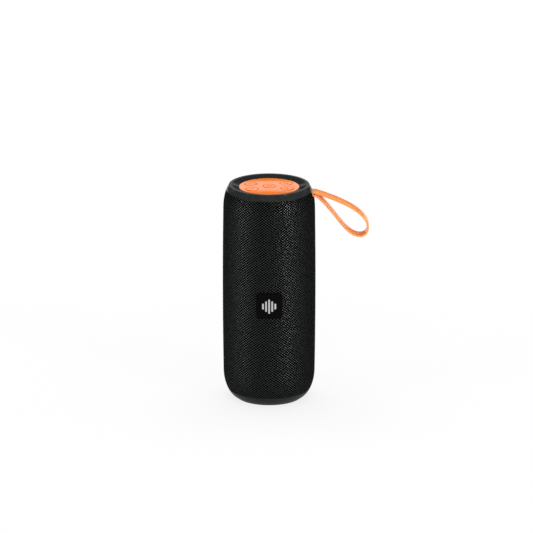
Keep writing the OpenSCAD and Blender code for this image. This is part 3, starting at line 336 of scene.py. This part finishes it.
def make_world():
    """White to the camera; in reflections a card behind, 13.5 to 18.5 degrees up; an even grey fill."""
    world = bpy.data.worlds.new("studio_world")
    bpy.context.scene.world = world
    world.use_nodes = True
    tree = world.node_tree
    background = tree.nodes["Background"]
    place = add(tree, "ShaderNodeTexCoord")
    split = add(tree, "ShaderNodeSeparateXYZ")
    bottom = add(tree, "ShaderNodeMapRange", From_Min=CARD[0] - CARD_EDGE, From_Max=CARD[0] + CARD_EDGE)
    top = add(tree, "ShaderNodeMapRange", From_Min=CARD[1] - CARD_EDGE, From_Max=CARD[1] + CARD_EDGE)
    card = add(tree, "ShaderNodeMath", operation="SUBTRACT")
    path = add(tree, "ShaderNodeLightPath")
    join(tree, place.outputs["Generated"], split.inputs["Vector"])
    join(tree, split.outputs["Z"], bottom.inputs["Value"])
    join(tree, split.outputs["Z"], top.inputs["Value"])
    join(tree, bottom.outputs["Result"], card.inputs[0])
    join(tree, top.outputs["Result"], card.inputs[1])
    behind = add(tree, "ShaderNodeMapRange", From_Min=CARD_BEHIND[0], From_Max=CARD_BEHIND[1])
    placed = add(tree, "ShaderNodeMath", operation="MULTIPLY")
    join(tree, split.outputs["Y"], behind.inputs["Value"])
    join(tree, card.outputs["Value"], placed.inputs[0])
    join(tree, behind.outputs["Result"], placed.inputs[1])
    shine = two_tone(tree, placed.outputs["Value"], grey(GLOSS_GREY), grey(1))
    fill = add(tree, "ShaderNodeMix", data_type="RGBA")
    fill.inputs["A"].default_value = grey(FILL_GREY)
    seen = add(tree, "ShaderNodeMix", data_type="RGBA")
    seen.inputs["B"].default_value = grey(1)
    direct = add(tree, "ShaderNodeMath", operation="MAXIMUM")
    join(tree, path.outputs["Is Glossy Ray"], fill.inputs["Factor"])
    join(tree, shine, fill.inputs["B"])
    join(tree, path.outputs["Is Camera Ray"], direct.inputs[0])
    join(tree, path.outputs["Is Transmission Ray"], direct.inputs[1])
    join(tree, direct.outputs["Value"], seen.inputs["Factor"])
    join(tree, fill.outputs["Result"], seen.inputs["A"])
    join(tree, seen.outputs["Result"], background.inputs["Color"])


make_floor()
make_world()
bpy.context.scene.view_settings.view_transform = "Standard"
print("floor side:", 2 * FLOOR_HALF, "m")

# %% [markdown]
# ## The outline of the barrel
# The cloth follows the body, so it needs the body's outline: straight sides that swell by half a
# millimetre, an elliptical shoulder at the foot and another under the collar. The outline is kept as a
# table of height, radius and distance along the curve, because the knit is spaced along the curve and not
# along the height.

# %% Outline table
SIDE_R, SWELL = 34.5, 0.5
FOOT_H, FOOT_IN = 22.0, 12.5
SHOULDER_Z, SHOULDER_H, SHOULDER_IN = 148.2, 20.0, 8.0
CLOTH_LOW, CLOTH_HIGH = 7.3, 161.6
TABLE_POINTS = 3000


def barrel_radius(z):
    """Radius in mm: an ellipse quarter at the foot, another at the shoulder, and a parabola between them."""
    foot = SIDE_R - FOOT_IN * (1 - np.sqrt(np.clip(1 - ((FOOT_H - z) / FOOT_H) ** 2, 0, 1)))
    top = SIDE_R - SHOULDER_IN * (1 - np.sqrt(np.clip(1 - ((z - SHOULDER_Z) / SHOULDER_H) ** 2, 0, 1)))
    u = (z - FOOT_H) / (SHOULDER_Z - FOOT_H)
    side = SIDE_R + 4 * SWELL * u * (1 - u)
    return np.where(z < FOOT_H, foot, np.where(z > SHOULDER_Z, top, side))


table_z = np.linspace(CLOTH_LOW, CLOTH_HIGH, TABLE_POINTS)
table_r = barrel_radius(table_z)
table_s = np.concatenate([[0], np.cumsum(np.hypot(np.diff(table_r), np.diff(table_z)))])
slope = np.gradient(table_r, table_z)
table_out = np.stack([1 / np.hypot(1, slope), -slope / np.hypot(1, slope)], axis=1)
CLOTH_LENGTH = table_s[-1]


def on_barrel(turn, along, sink):
    """Points in mm: a distance along the outline, a turn round the axis, and a depth along the normal."""
    z = np.interp(along, table_s, table_z)
    out_r = np.interp(along, table_s, table_out[:, 0])
    out_z = np.interp(along, table_s, table_out[:, 1])
    r = barrel_radius(z) - sink * out_r
    return np.stack([r * np.sin(turn), -r * np.cos(turn), z - sink * out_z], axis=-1)


print("cloth along the outline:", round(CLOTH_LENGTH, 1), "mm")

# %% [markdown]
# ## Putting arrays into meshes
# Each new piece is worked out as whole arrays of points and faces. One helper turns those into a mesh
# with smooth shading, adds what the shader reads, and makes the piece ride on its body.

# %% Mesh helper


def make_piece(name, points, faces, body, material):
    """An object from points in mm and four-cornered faces, riding on a body, or on none if body is None."""
    mesh = bpy.data.meshes.new(name)
    mesh.from_pydata((np.asarray(points) * MM).tolist(), [], np.asarray(faces).tolist())
    mesh.materials.append(material)
    mesh.shade_smooth()
    piece = bpy.data.objects.new(name, mesh)
    bpy.context.scene.collection.objects.link(piece)
    if body:
        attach(piece, body)
    return piece


def grid_faces(rows, columns, close_rows, close_columns):
    """Faces of a grid of points, row after row, joined end to end in either direction where asked."""
    row = np.arange(rows if close_rows else rows - 1)
    column = np.arange(columns if close_columns else columns - 1)
    i, j = np.meshgrid(row, column, indexing="ij")
    up, side = (i + 1) % rows, (j + 1) % columns
    corners = [i * columns + j, i * columns + side, up * columns + side, up * columns + j]
    return np.stack(corners, axis=-1).reshape(-1, 4)


print("mesh helpers ready")

# %% [markdown]
# ## Thread of the mesh cloth
# The thread is dark polyester with a dull shine where it turns to the light, and none at the barrel's edges,
# where a plain plastic would be brightest. A finish that is mostly metal with a dark edge tint does that.
# The thread lies higher at its crossings than at the edge of a hole, so an attribute carries that height to
# the shader. The shader uses that height for painted shade and a painted highlight: the colour is near black
# at the hole lips, where the holes are in shade, and pale grey at the crossings, where the thread catches
# the light. A twist of fibres runs along each thread on the piece's own UV map, along the thread and across
# it, in mm.

# %% Group: twisted fibres
FIBRE_SLANT = math.radians(38)


def make_twist_group():
    """Slanting waves along a thread, broken by noise: a mask of the fibres and a normal bumped by them."""
    group, start, end = new_group(
        "twisted_fibres", {"Pitch": 1.6, "Depth": 8e-6}, {"Fibre": "Float", "Normal": "Vector"}
    )
    place = add(group, "ShaderNodeUVMap", uv_map="along_thread")
    slant = add(group, "ShaderNodeMapping")
    slant.inputs["Rotation"].default_value = (0, 0, FIBRE_SLANT)
    wave = add(group, "ShaderNodeTexWave", Distortion=1.4, Detail=2.0, Detail_Scale=2.0)
    bump = add(group, "ShaderNodeBump", Strength=1.0)
    join(group, place.outputs["UV"], slant.inputs["Vector"])
    join(group, slant.outputs["Vector"], wave.inputs["Vector"])
    join(group, start.outputs["Pitch"], wave.inputs["Scale"])
    join(group, start.outputs["Depth"], bump.inputs["Distance"])
    join(group, wave.outputs["Fac"], bump.inputs["Height"])
    join(group, wave.outputs["Fac"], end.inputs["Fibre"])
    join(group, bump.outputs["Normal"], end.inputs["Normal"])
    return group


TWIST = make_twist_group()
print("group:", TWIST.name)

# %% Thread finish
# painted shade at the hole lips and a painted highlight at the crossings
THREAD_HOLLOW_SHADE, THREAD_CREST_HIGHLIGHT = "#010101", "#676a69"
HEIGHT_POWER = 3.0
FIBRE_DIM = 0.75
HOLLOW_ROUGH, CREST_ROUGH = 0.6, 0.24
THREAD_METAL, THREAD_EDGE = 0.9, 0.15


def make_thread():
    """Dark polyester: a painted highlight over painted shade that rises with the thread's height and fibres,
    and a shine that dies away at a low angle.
    """
    material, tree, shader = blank("mesh_thread")
    twist = use_group(tree, TWIST)
    lift = add(tree, "ShaderNodeAttribute", attribute_name="lift")
    steep = add(tree, "ShaderNodeMath", operation="POWER")
    steep.inputs[1].default_value = HEIGHT_POWER
    strand = add(tree, "ShaderNodeMapRange", To_Min=FIBRE_DIM, To_Max=1.0)
    shade_to_highlight = add(tree, "ShaderNodeMath", operation="MULTIPLY")
    join(tree, lift.outputs["Fac"], steep.inputs[0])
    join(tree, twist.outputs["Fibre"], strand.inputs["Value"])
    join(tree, steep.outputs["Value"], shade_to_highlight.inputs[0])
    join(tree, strand.outputs["Result"], shade_to_highlight.inputs[1])
    # painted shade towards the hole lips, painted highlight at the crossings, dimmed along the fibres
    colour = two_tone(tree, shade_to_highlight.outputs["Value"], paint(THREAD_HOLLOW_SHADE), paint(THREAD_CREST_HIGHLIGHT))
    join(tree, colour, shader.inputs["Base Color"])
    rough = add(tree, "ShaderNodeMapRange", To_Min=HOLLOW_ROUGH, To_Max=CREST_ROUGH)
    join(tree, shade_to_highlight.outputs["Value"], rough.inputs["Value"])
    join(tree, rough.outputs["Result"], shader.inputs["Roughness"])
    join(tree, twist.outputs["Normal"], shader.inputs["Normal"])
    shader.inputs["Metallic"].default_value = THREAD_METAL
    shader.inputs["Specular IOR Level"].default_value = 0.0
    shader.inputs["Specular Tint"].default_value = grey(THREAD_EDGE)
    return material


thread = make_thread()
# the inner face: a real cloth face, set near black and without reflection as painted shade in the holes
inner_face_shade = moulded(
    "sleeve_inner_face", "#010101", "#030303", (0.8, 0.95), grain=3500, depth=6e-5, level=0.0
)
print("finishes:", thread.name, inner_face_shade.name)

# %% [markdown]
# ## The mesh sleeve
# The cloth is a spacer knit: an open net of diamonds in front of a plain inner face. Each diamond is
# 2.6 mm wide and 2 mm tall, so threads run at 37 degrees both ways. A texture could draw it, but the
# holes are what makes the cloth read as cloth, so they are real: every diamond is a ring of eight faces
# between its edge, where two threads meet, and the lip of its hole, which is sunk below. Neighbours share
# their edge points, so the net is one surface. Points that would lie inside the port panel or the strap's
# slot are pushed out to their rims.

# %% Diamonds of the net
COLUMNS = 84
DIAMOND_W, HALF_ROW = 2.6, 0.5
ROWS = int(round(CLOTH_LENGTH / (2 * HALF_ROW)))
EDGE_STEPS = np.array([(2, 0), (1, 1), (0, 2), (-1, 1), (-2, 0), (-1, -1), (0, -2), (1, -1)])
HOLE_SHARE = np.array([0.56, 0.76] * 4)[:, None]
CROSSING_SINK, THREAD_SINK, HOLE_SINK = 0.0, 0.15, 0.52
# a thread's way sideways and up and its length, in mm, and the shift that sets each diamond's fibres apart
THREAD_RUN, THREAD_RISE, THREAD_REACH = 1.25, 1.0, 1.6
FIBRE_SHIFT = 3.1
PORT_RIM = dict(centre=22.6, half_w=17.2, half_h=6.6, corner=2.1)
STRAP_RIM = dict(centre=167.2, half_w=5.6, half_h=10.0, corner=0.3)
TINY = 1e-9


def rim_push(across, z, centre, half_w, half_h, corner):
    """Signed distance to a rounded rectangle and the point moved out to its edge where that is negative."""
    p = np.stack([across, z - centre], axis=-1)
    q = np.abs(p) - (np.array([half_w, half_h]) - corner)
    outer = np.maximum(q, 0)
    reach = np.linalg.norm(outer, axis=-1)
    distance = reach + np.minimum(q.max(-1), 0) - corner
    flat = np.where((q[..., :1] > q[..., 1:]), [1.0, 0.0], [0.0, 1.0])
    slant = outer / np.maximum(reach, TINY)[..., None]
    way = np.where(reach[..., None] > TINY, slant, flat) * np.sign(p)
    moved = p - np.minimum(distance, 0)[..., None] * way
    return distance, moved[..., 0], moved[..., 1] + centre


def keep_clear(points, sink):
    """Points moved out to the rims of the port panel (towards +Y) and of the strap's slot (towards +X)."""
    x, y, z = points.T
    gap_port, port_x, port_z = rim_push(x, z, **PORT_RIM)
    in_port = (gap_port < 0) & (y > 0)
    gap_strap, strap_y, strap_z = rim_push(y, z, **STRAP_RIM)
    in_strap = (gap_strap < 0) & (x > 0)
    z = np.where(in_port, port_z, np.where(in_strap, strap_z, z))
    r = barrel_radius(z) - sink
    x = np.where(in_port, port_x, np.where(in_strap, np.sqrt(np.maximum(r**2 - strap_y**2, 0)), x))
    y = np.where(in_port, np.sqrt(np.maximum(r**2 - port_x**2, 0)), np.where(in_strap, strap_y, y))
    return np.stack([x, y, z], axis=-1), in_port | in_strap


def net_arrays():
    """Points, faces, UV and height of the net. Diamonds sit on a staggered lattice counted in quarter
    columns and half rows; edge points are shared by their lattice number, and each hole has its own eight
    points."""
    row, column = np.meshgrid(np.arange(ROWS + 1), np.arange(COLUMNS), indexing="ij")
    centre = np.stack([4 * column + 2 * (row % 2), 2 * row], axis=-1).reshape(-1, 1, 2)
    edge = centre + EDGE_STEPS
    hole = centre + EDGE_STEPS * HOLE_SHARE
    wrap = 4 * COLUMNS
    number = edge[..., 0] % wrap + wrap * (edge[..., 1] + 2)
    shared, index = np.unique(number, return_inverse=True)
    index = index.reshape(number.shape)
    shared_at = np.stack([shared % wrap, shared // wrap - 2], axis=-1)
    crossing = (shared_at % 2 == 0).all(1)
    at = np.concatenate([shared_at, hole.reshape(-1, 2)])
    edge_sink = np.where(crossing, CROSSING_SINK, THREAD_SINK)
    sink = np.concatenate([edge_sink, np.full(hole.size // 2, HOLE_SINK)])
    past = (at[:, 1] <= 0) | (at[:, 1] >= 2 * ROWS)
    turn = 2 * np.pi * at[:, 0] / wrap
    distance = np.clip(at[:, 1], 0, 2 * ROWS) * CLOTH_LENGTH / (2 * ROWS)
    points = on_barrel(turn, distance, sink)
    points, cut = keep_clear(points, sink)
    hole_index = len(shared) + np.arange(hole.size // 2).reshape(-1, 8)
    after = np.roll(np.arange(8), -1)
    faces = np.stack([index, index[:, after], hole_index[:, after], hole_index], axis=-1).reshape(-1, 4)
    corner = np.stack([edge, edge[:, after], hole[:, after], hole], axis=2) - centre[:, :, None]
    middle = corner.mean(2, keepdims=True)
    sign = np.where(middle >= 0, 1.0, -1.0)
    mm = corner * np.array([DIAMOND_W / 4, HALF_ROW])
    along = (mm * np.array([THREAD_RUN, -THREAD_RISE]) * sign).sum(-1) / THREAD_REACH
    across = (mm * np.array([THREAD_RISE, THREAD_RUN]) * sign).sum(-1) / THREAD_REACH
    shift = FIBRE_SHIFT * centre[:, :, :1]
    uv = np.stack([along + shift, across], axis=-1).reshape(-1, 4, 2)
    lost = past[faces].all(1) | cut[faces].all(1)
    lift = 1 - (sink - CROSSING_SINK) / (HOLE_SINK - CROSSING_SINK)
    return points, faces[~lost], uv[~lost], lift


net_points, net_faces, net_uv, net_lift = net_arrays()
print("net:", len(net_points), "points,", len(net_faces), "faces")

# %% Two halves of the net


def net_half(name, chosen):
    """One half of the net with only the points that it uses, its thread UV and its height attribute."""
    used, faces = np.unique(net_faces[chosen], return_inverse=True)
    piece = make_piece(name, net_points[used], faces.reshape(-1, 4), "housing", thread)
    layer = piece.data.uv_layers.new(name="along_thread")
    layer.data.foreach_set("uv", net_uv[chosen].astype(np.float32).ravel())
    height = piece.data.attributes.new("lift", "FLOAT", "POINT")
    height.data.foreach_set("value", net_lift[used].astype(np.float32))
    return piece


in_front = net_points[net_faces][:, :, 1].mean(1) < 0
mesh_front = net_half("mesh_sleeve_front", in_front)
mesh_rear = net_half("mesh_sleeve_rear", ~in_front)
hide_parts("fabric_sleeve")
print("halves:", len(mesh_front.data.polygons), len(mesh_rear.data.polygons))

# %% [markdown]
# ## The inner face of the cloth
# Behind the net, the same spacer knit has a plain closed face that keeps dust out. The face is real, but its
# colour is set near black and it mirrors nothing, as painted shade that makes the holes look black. It is a
# thin skin just over the grille tube: the outline turned round the axis, one grid of points. It is also the
# piece whose size is known, because the sleeve is cut as a flat sheet and drawn over the tube.

# %% Inner face
BACKING_SINK = 0.72
BACKING_ROWS, BACKING_COLUMNS = 90, 176


def make_backing():
    """The outline, sunk by a fixed depth and turned round the axis, without the faces in the openings."""
    rows = np.linspace(0, CLOTH_LENGTH, BACKING_ROWS)
    columns = np.linspace(0, 2 * np.pi, BACKING_COLUMNS, endpoint=False)
    along, turn = np.meshgrid(rows, columns, indexing="ij")
    points = on_barrel(turn.ravel(), along.ravel(), np.full(turn.size, BACKING_SINK))
    points, cut = keep_clear(points, BACKING_SINK)
    faces = grid_faces(BACKING_ROWS, BACKING_COLUMNS, False, True)
    kept = faces[~cut[faces].all(1)]
    return make_piece("sleeve_inner_face", points, kept, "housing", inner_face_shade)


backing = make_backing()
print("inner face:", len(backing.data.polygons), "faces")

# %% [markdown]
# ## The strap
# The strap is one band of silicone, folded double: both ends go through the slot under the collar and round
# a steel pin inside. The band keeps its width and thickness while its middle line bends, so it is a rounded
# rectangle carried along a closed line. The line is worked out in the plane y = 0 from three cubic curves,
# two short runs through the slot and an arc round the pin. The band rides on no body.

# %% Middle line of the strap
STRAP_W, STRAP_T, STRAP_EDGE = 10.5, 1.6, 0.5
STRAP_X, STRAP_Z, PIN_X = 34.0732, 159.6, 27.1525
REACH, DROP, ROOT_X, STRAND = 40.0, 32.5, 0.5, 1.0
# ends and handles of the three curves, as shares of the reach and of the drop
TIP, BELLY = (1.0, -0.79), (0.85, -1.0)
UPPER_HANDLES = [(0.3, -0.08), (1.0, -0.38)]
BEND_HANDLES = [(1.0, -0.93), (0.94, -1.0)]
LOWER_HANDLES = [(0.56, -1.0), (0.34, -0.29)]
# inside the slot: where the straight runs end, and the arc round the pin in mm and degrees
RUN_X = -3.2
PIN_TURN_R, PIN_ARC = 1.87, (-55, -305)
CURVE_POINTS, PIN_POINTS, LINE_POINTS = 60, 40, 260
SMOOTHINGS = 3


def cubic(p, t):
    """Point on a cubic curve: its four handles weighted by the cubic powers of t and 1 - t."""
    w = np.stack([(1 - t) ** 3, 3 * (1 - t) ** 2 * t, 3 * (1 - t) * t**2, t**3], axis=1)
    return w @ np.asarray(p, float)


def strap_line():
    """The closed middle line in x and z, mm: the upper strand, the bend, the lower strand, round the pin."""
    size = np.array([REACH, DROP])
    tip, belly = TIP * size, BELLY * size
    upper = [(ROOT_X, STRAND), *(UPPER_HANDLES * size), tip]
    bend = [tip, *(BEND_HANDLES * size), belly]
    lower = [belly, *(LOWER_HANDLES * size), (ROOT_X, -STRAND)]
    t = np.linspace(0, 1, CURVE_POINTS)
    turn = np.radians(np.linspace(*PIN_ARC, PIN_POINTS))
    pin = np.stack([PIN_X - STRAP_X + PIN_TURN_R * np.cos(turn), PIN_TURN_R * np.sin(turn)], axis=1)
    runs = [(RUN_X, -STRAND), (RUN_X, STRAND)]
    line = np.concatenate([cubic(upper, t), cubic(bend, t), cubic(lower, t), runs[:1], pin, runs[1:]])
    line = np.concatenate([line, line[:1]])
    step = np.concatenate([[0], np.cumsum(np.linalg.norm(np.diff(line, axis=0), axis=1))])
    even = np.linspace(0, step[-1], LINE_POINTS, endpoint=False)
    line = np.stack([np.interp(even, step, line[:, k]) for k in range(2)], axis=1)
    for _ in range(SMOOTHINGS):
        line = (np.roll(line, 1, 0) + 2 * line + np.roll(line, -1, 0)) / 4
    return line, step[-1]


strap_middle, strap_length = strap_line()
print("band length:", round(strap_length, 1), "mm")

# %% Band carried along the line
CORNER_POINTS = 6


def band_profile():
    """A rounded rectangle as (out of the band, across the band): four quarter circles at its corners."""
    turn = np.radians(np.linspace(0, 90, CORNER_POINTS))
    quarter = STRAP_EDGE * np.stack([np.cos(turn), np.sin(turn)], axis=1)
    inner = np.array([STRAP_T / 2, STRAP_W / 2]) - STRAP_EDGE
    signs = [(1, 1), (-1, 1), (-1, -1), (1, -1)]
    parts = [(quarter[:: 1 if a * b > 0 else -1] + inner) * (a, b) for a, b in signs]
    return np.concatenate(parts)


def make_strap(material):
    """Each point of the line plus the profile laid along the line's normal and along y."""
    tangent = np.roll(strap_middle, -1, 0) - np.roll(strap_middle, 1, 0)
    tangent /= np.linalg.norm(tangent, axis=1, keepdims=True)
    normal = np.stack([-tangent[:, 1], tangent[:, 0]], axis=1)
    profile = band_profile()
    flat = strap_middle[:, None] + normal[:, None] * profile[None, :, :1]
    across = np.broadcast_to(profile[None, :, 1], flat.shape[:2])
    points = np.stack([flat[..., 0] + STRAP_X, across, flat[..., 1] + STRAP_Z], axis=-1)
    points = points.reshape(-1, 3)
    faces = grid_faces(LINE_POINTS, len(profile), True, True)
    return make_piece("silicone_strap", points, faces, None, material)


silicone = moulded("orange_silicone", "#f08a3e", "#f3924a", (0.2, 0.28), grain=1800, depth=5e-6, patch=60)
strap = make_strap(silicone)
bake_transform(strap)
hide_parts("strap_loop", "strap_anchor")
print("strap:", len(strap.data.polygons), "faces")

# %% [markdown]
# ## Finishes of the outer parts
# The collar and the base are one satin grey-black plastic. The keypad is a smooth orange plastic that
# mirrors the white surroundings at the low angle of the picture, which is why it looks pale across its
# middle. The badge is polished black with plain silver bars, and the feet and the port cover are matt
# rubber.

# %% Outer finishes
finishes = {
    "grey_plastic": moulded(
        "satin_collar", "#222323", "#262727", (0.12, 0.15), grain=3000, depth=4e-7, level=0.05
    ),
    "dark_plastic": moulded("dark_moulding", "#0e0e0f", "#141416", (0.5, 0.62), grain=2400),
    "gloss_black": moulded(
        "polished_black", "#020202", "#030303", (0.06, 0.1), grain=900, depth=1e-6, level=0.04
    ),
    "silver_trim": moulded(
        "satin_silver", "#b9bbbd", "#c9cbcc", (0.26, 0.36), grain=5000, depth=4e-6, metal=1.0
    ),
    "black_rubber": moulded(
        "matt_rubber", "#0d0d0e", "#151517", (0.66, 0.8), grain=1600, depth=3e-5, level=0.35
    ),
    "clear_lens": moulded("milky_lens", "#f67410", "#fb7c18", (0.55, 0.65), grain=1200, depth=2e-6),
    "radiator_skin": moulded("radiator_skin", "#101012", "#18181b", (0.28, 0.36), grain=1500),
    "orange_silicone": silicone,
}
ORANGE_PANEL = ("#fb7f22", "#fd862b")
PANEL_ROUGH = (0.05, 0.08)
PANEL_GRAIN = dict(grain=1400, depth=5e-7, patch=90)
DOME_R = 633.0 * MM
UPWARD_COSINE = 0.97


def make_panel_finish():
    """Smooth orange whose upward faces take the dome's normal: x and y over the dome's radius, and 1."""
    material = moulded("smooth_orange", *ORANGE_PANEL, PANEL_ROUGH, **PANEL_GRAIN)
    tree = material.node_tree
    shader = tree.nodes["Principled BSDF"]
    place = add(tree, "ShaderNodeTexCoord")
    lean = add(tree, "ShaderNodeVectorMath", operation="MULTIPLY_ADD")
    lean.inputs[1].default_value = (1 / DOME_R, 1 / DOME_R, 0)
    lean.inputs[2].default_value = (0, 0, 1)
    turned = add(
        tree, "ShaderNodeVectorTransform", vector_type="NORMAL", convert_from="OBJECT", convert_to="WORLD"
    )
    face = add(tree, "ShaderNodeNewGeometry")
    part = add(tree, "ShaderNodeVectorMath", operation="DOT_PRODUCT")
    upward = add(tree, "ShaderNodeMath", operation="GREATER_THAN")
    upward.inputs[1].default_value = UPWARD_COSINE
    chosen = add(tree, "ShaderNodeMix", data_type="VECTOR")
    join(tree, place.outputs["Object"], lean.inputs[0])
    join(tree, lean.outputs["Vector"], turned.inputs["Vector"])
    join(tree, turned.outputs["Vector"], part.inputs[0])
    join(tree, face.outputs["Normal"], part.inputs[1])
    join(tree, part.outputs["Value"], upward.inputs[0])
    join(tree, upward.outputs["Value"], chosen.inputs["Factor"])
    join(tree, face.outputs["Normal"], chosen.inputs["A"])
    join(tree, turned.outputs["Vector"], chosen.inputs["B"])
    join(tree, chosen.outputs["Result"], shader.inputs["Normal"])
    return material


panel_finish = make_panel_finish()
print("outer finishes:", len(finishes) + 1)

# %% [markdown]
# ## Keys with raised marks
# Each key is the same orange as the panel, with a raised ring and a raised mark. On the real keys these
# lines look deeper than the panel because they are matt and don't mirror the surroundings. A mask made
# from the height in the key's own coordinates finds the raised faces, and there the finish turns matt, so
# that its own orange shows.

# %% Key finishes
ORANGE_MARK, MARK_ROUGH = "#fb7604", 0.6
MARK_DEPTH = 0.1 * MM
KEYS = ("key_power", "key_play", "key_mode", "key_minus", "key_plus")


def make_key_finish(name, top):
    """The panel's orange below a height, and a matt orange above it."""
    material, tree, shader = blank(name)
    panel = {label.title(): value for label, value in PANEL_GRAIN.items()}
    texture = use_group(tree, GRAIN, **panel, Low=PANEL_ROUGH[0], High=PANEL_ROUGH[1])
    place = add(tree, "ShaderNodeTexCoord")
    split = add(tree, "ShaderNodeSeparateXYZ")
    raised = add(tree, "ShaderNodeMath", operation="GREATER_THAN")
    raised.inputs[1].default_value = top - MARK_DEPTH / 2
    join(tree, place.outputs["Object"], split.inputs["Vector"])
    join(tree, split.outputs["Z"], raised.inputs[0])
    orange = two_tone(tree, texture.outputs["Tint"], paint(ORANGE_PANEL[0]), paint(ORANGE_PANEL[1]))
    colour = add(tree, "ShaderNodeMix", data_type="RGBA")
    colour.inputs["B"].default_value = paint(ORANGE_MARK)
    join(tree, raised.outputs["Value"], colour.inputs["Factor"])
    join(tree, orange, colour.inputs["A"])
    join(tree, colour.outputs["Result"], shader.inputs["Base Color"])
    rough = add(tree, "ShaderNodeMix")
    rough.inputs["B"].default_value = MARK_ROUGH
    join(tree, raised.outputs["Value"], rough.inputs["Factor"])
    join(tree, texture.outputs["Roughness"], rough.inputs["A"])
    join(tree, rough.outputs["Result"], shader.inputs["Roughness"])
    join(tree, texture.outputs["Normal"], shader.inputs["Normal"])
    return material


node_finish = {
    "keypad": panel_finish,
    "base_ring": moulded(
        "satin_base", "#1e1f1f", "#222323", (0.4, 0.5), grain=3000, depth=6e-6, level=0.06
    ),
}
for key in KEYS:
    node_finish[key] = make_key_finish("smooth_orange_" + key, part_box(key)[1].z)
print("finishes of single pieces:", len(node_finish))

# %% [markdown]
# ## Finishes inside the housing
# A reader who takes the speaker apart finds boards, screws, magnets and leads. Each has its own pattern:
# copper tracks under green lacquer, drawn lines on steel, windings on the voice coils and fibres in the
# paper cones. The patterns are a few more groups on the parts' own coordinates, placed in plain
# materials.

# %% Group: drawn lines
LINE_STRETCH = 0.04


def make_lines_group():
    """Noise stretched along one axis: a mask of fine lines and a normal bumped by them."""
    group, start, end = new_group(
        "drawn_lines", {"Fine": 4000, "Depth": 4e-6}, {"Line": "Float", "Normal": "Vector"}
    )
    place = add(group, "ShaderNodeTexCoord")
    stretch = add(group, "ShaderNodeMapping")
    stretch.inputs["Scale"].default_value = (1, LINE_STRETCH, 1)
    noise = add(group, "ShaderNodeTexNoise", Detail=2.0)
    bump = add(group, "ShaderNodeBump", Strength=1.0)
    join(group, place.outputs["Object"], stretch.inputs["Vector"])
    join(group, stretch.outputs["Vector"], noise.inputs["Vector"])
    join(group, start.outputs["Fine"], noise.inputs["Scale"])
    join(group, start.outputs["Depth"], bump.inputs["Distance"])
    join(group, noise.outputs["Fac"], bump.inputs["Height"])
    join(group, noise.outputs["Fac"], end.inputs["Line"])
    join(group, bump.outputs["Normal"], end.inputs["Normal"])
    return group


LINES = make_lines_group()


def drawn(name, low, high, rough, metal=1.0, fine=4000):
    """A drawn or woven finish: two colours along fine lines, and a roughness that follows them."""
    material, tree, shader = blank(name)
    lines = use_group(tree, LINES, Fine=fine)
    colour = two_tone(tree, lines.outputs["Line"], paint(low), paint(high))
    join(tree, colour, shader.inputs["Base Color"])
    spread = add(tree, "ShaderNodeMapRange", To_Min=rough[0], To_Max=rough[1])
    join(tree, lines.outputs["Line"], spread.inputs["Value"])
    join(tree, spread.outputs["Result"], shader.inputs["Roughness"])
    join(tree, lines.outputs["Normal"], shader.inputs["Normal"])
    shader.inputs["Metallic"].default_value = metal
    return material


print("group:", LINES.name)

# %% Circuit boards
LACQUER_GREEN, TRACK_GREEN = "#0d4a26", "#2c7a3f"
LACQUER_ROUGH = 0.32
CELLS_PER_METRE = 420.0
TRACK_EDGE = (0.06, 0.1)
TRACK_HEIGHT = 0.03 * MM


def make_board():
    """Green lacquer over copper: the borders of square cells of noise are paler, slightly raised tracks."""
    material, tree, shader = blank("lacquered_board")
    place = add(tree, "ShaderNodeTexCoord")
    cells = add(
        tree, "ShaderNodeTexVoronoi", distance="CHEBYCHEV", feature="DISTANCE_TO_EDGE", Scale=CELLS_PER_METRE
    )
    track = add(
        tree, "ShaderNodeMapRange", From_Min=TRACK_EDGE[0], From_Max=TRACK_EDGE[1], To_Min=1.0, To_Max=0.0
    )
    bump = add(tree, "ShaderNodeBump", Distance=TRACK_HEIGHT)
    join(tree, place.outputs["Object"], cells.inputs["Vector"])
    join(tree, cells.outputs["Distance"], track.inputs["Value"])
    colour = two_tone(tree, track.outputs["Result"], paint(LACQUER_GREEN), paint(TRACK_GREEN))
    join(tree, colour, shader.inputs["Base Color"])
    join(tree, track.outputs["Result"], bump.inputs["Height"])
    join(tree, bump.outputs["Normal"], shader.inputs["Normal"])
    shader.inputs["Roughness"].default_value = LACQUER_ROUGH
    return material


finishes.update({
    "circuit_board": make_board(),
    "steel": drawn("drawn_steel", "#8e9094", "#b9bbbf", (0.24, 0.38)),
    "coil_copper": drawn("wound_copper", "#8a4a22", "#c9793c", (0.28, 0.4), fine=9000),
    "spider_cloth": drawn("corrugated_cloth", "#8f6f2c", "#c8a24e", (0.8, 0.9), metal=0.0, fine=6000),
    "cone_paper": drawn("coated_paper", "#0f0f10", "#1e1e20", (0.68, 0.8), metal=0.0, fine=2500),
    "wire_skin": drawn("wire_skin", "#5a1616", "#7a2020", (0.38, 0.48), metal=0.0, fine=3000),
    "basket_metal": moulded("coated_sheet", "#17171a", "#222226", (0.42, 0.52), grain=1800, metal=0.6),
    "magnet_ferrite": moulded("ferrite", "#242426", "#343436", (0.55, 0.7), grain=1200, depth=4e-5),
    "cell_sleeve": moulded("shrink_sleeve", "#2b5f92", "#3470a8", (0.18, 0.26), grain=120, depth=1e-4),
    "black_component": moulded("black_component", "#121214", "#1c1c1f", (0.4, 0.52), grain=3000),
    "pale_component": moulded("pale_component", "#d8d2c2", "#e6e1d2", (0.42, 0.55), grain=2200),
})
slot_of = {part["node"]: part["material_slot"] for part in frame["record"]["subparts"]}
for name, node in frame["nodes"].items():
    chosen = node_finish.get(name) or finishes.get(slot_of[name]) or thread
    for place in node.material_slots:
        place.material = chosen
print("dressed nodes:", len(slot_of))
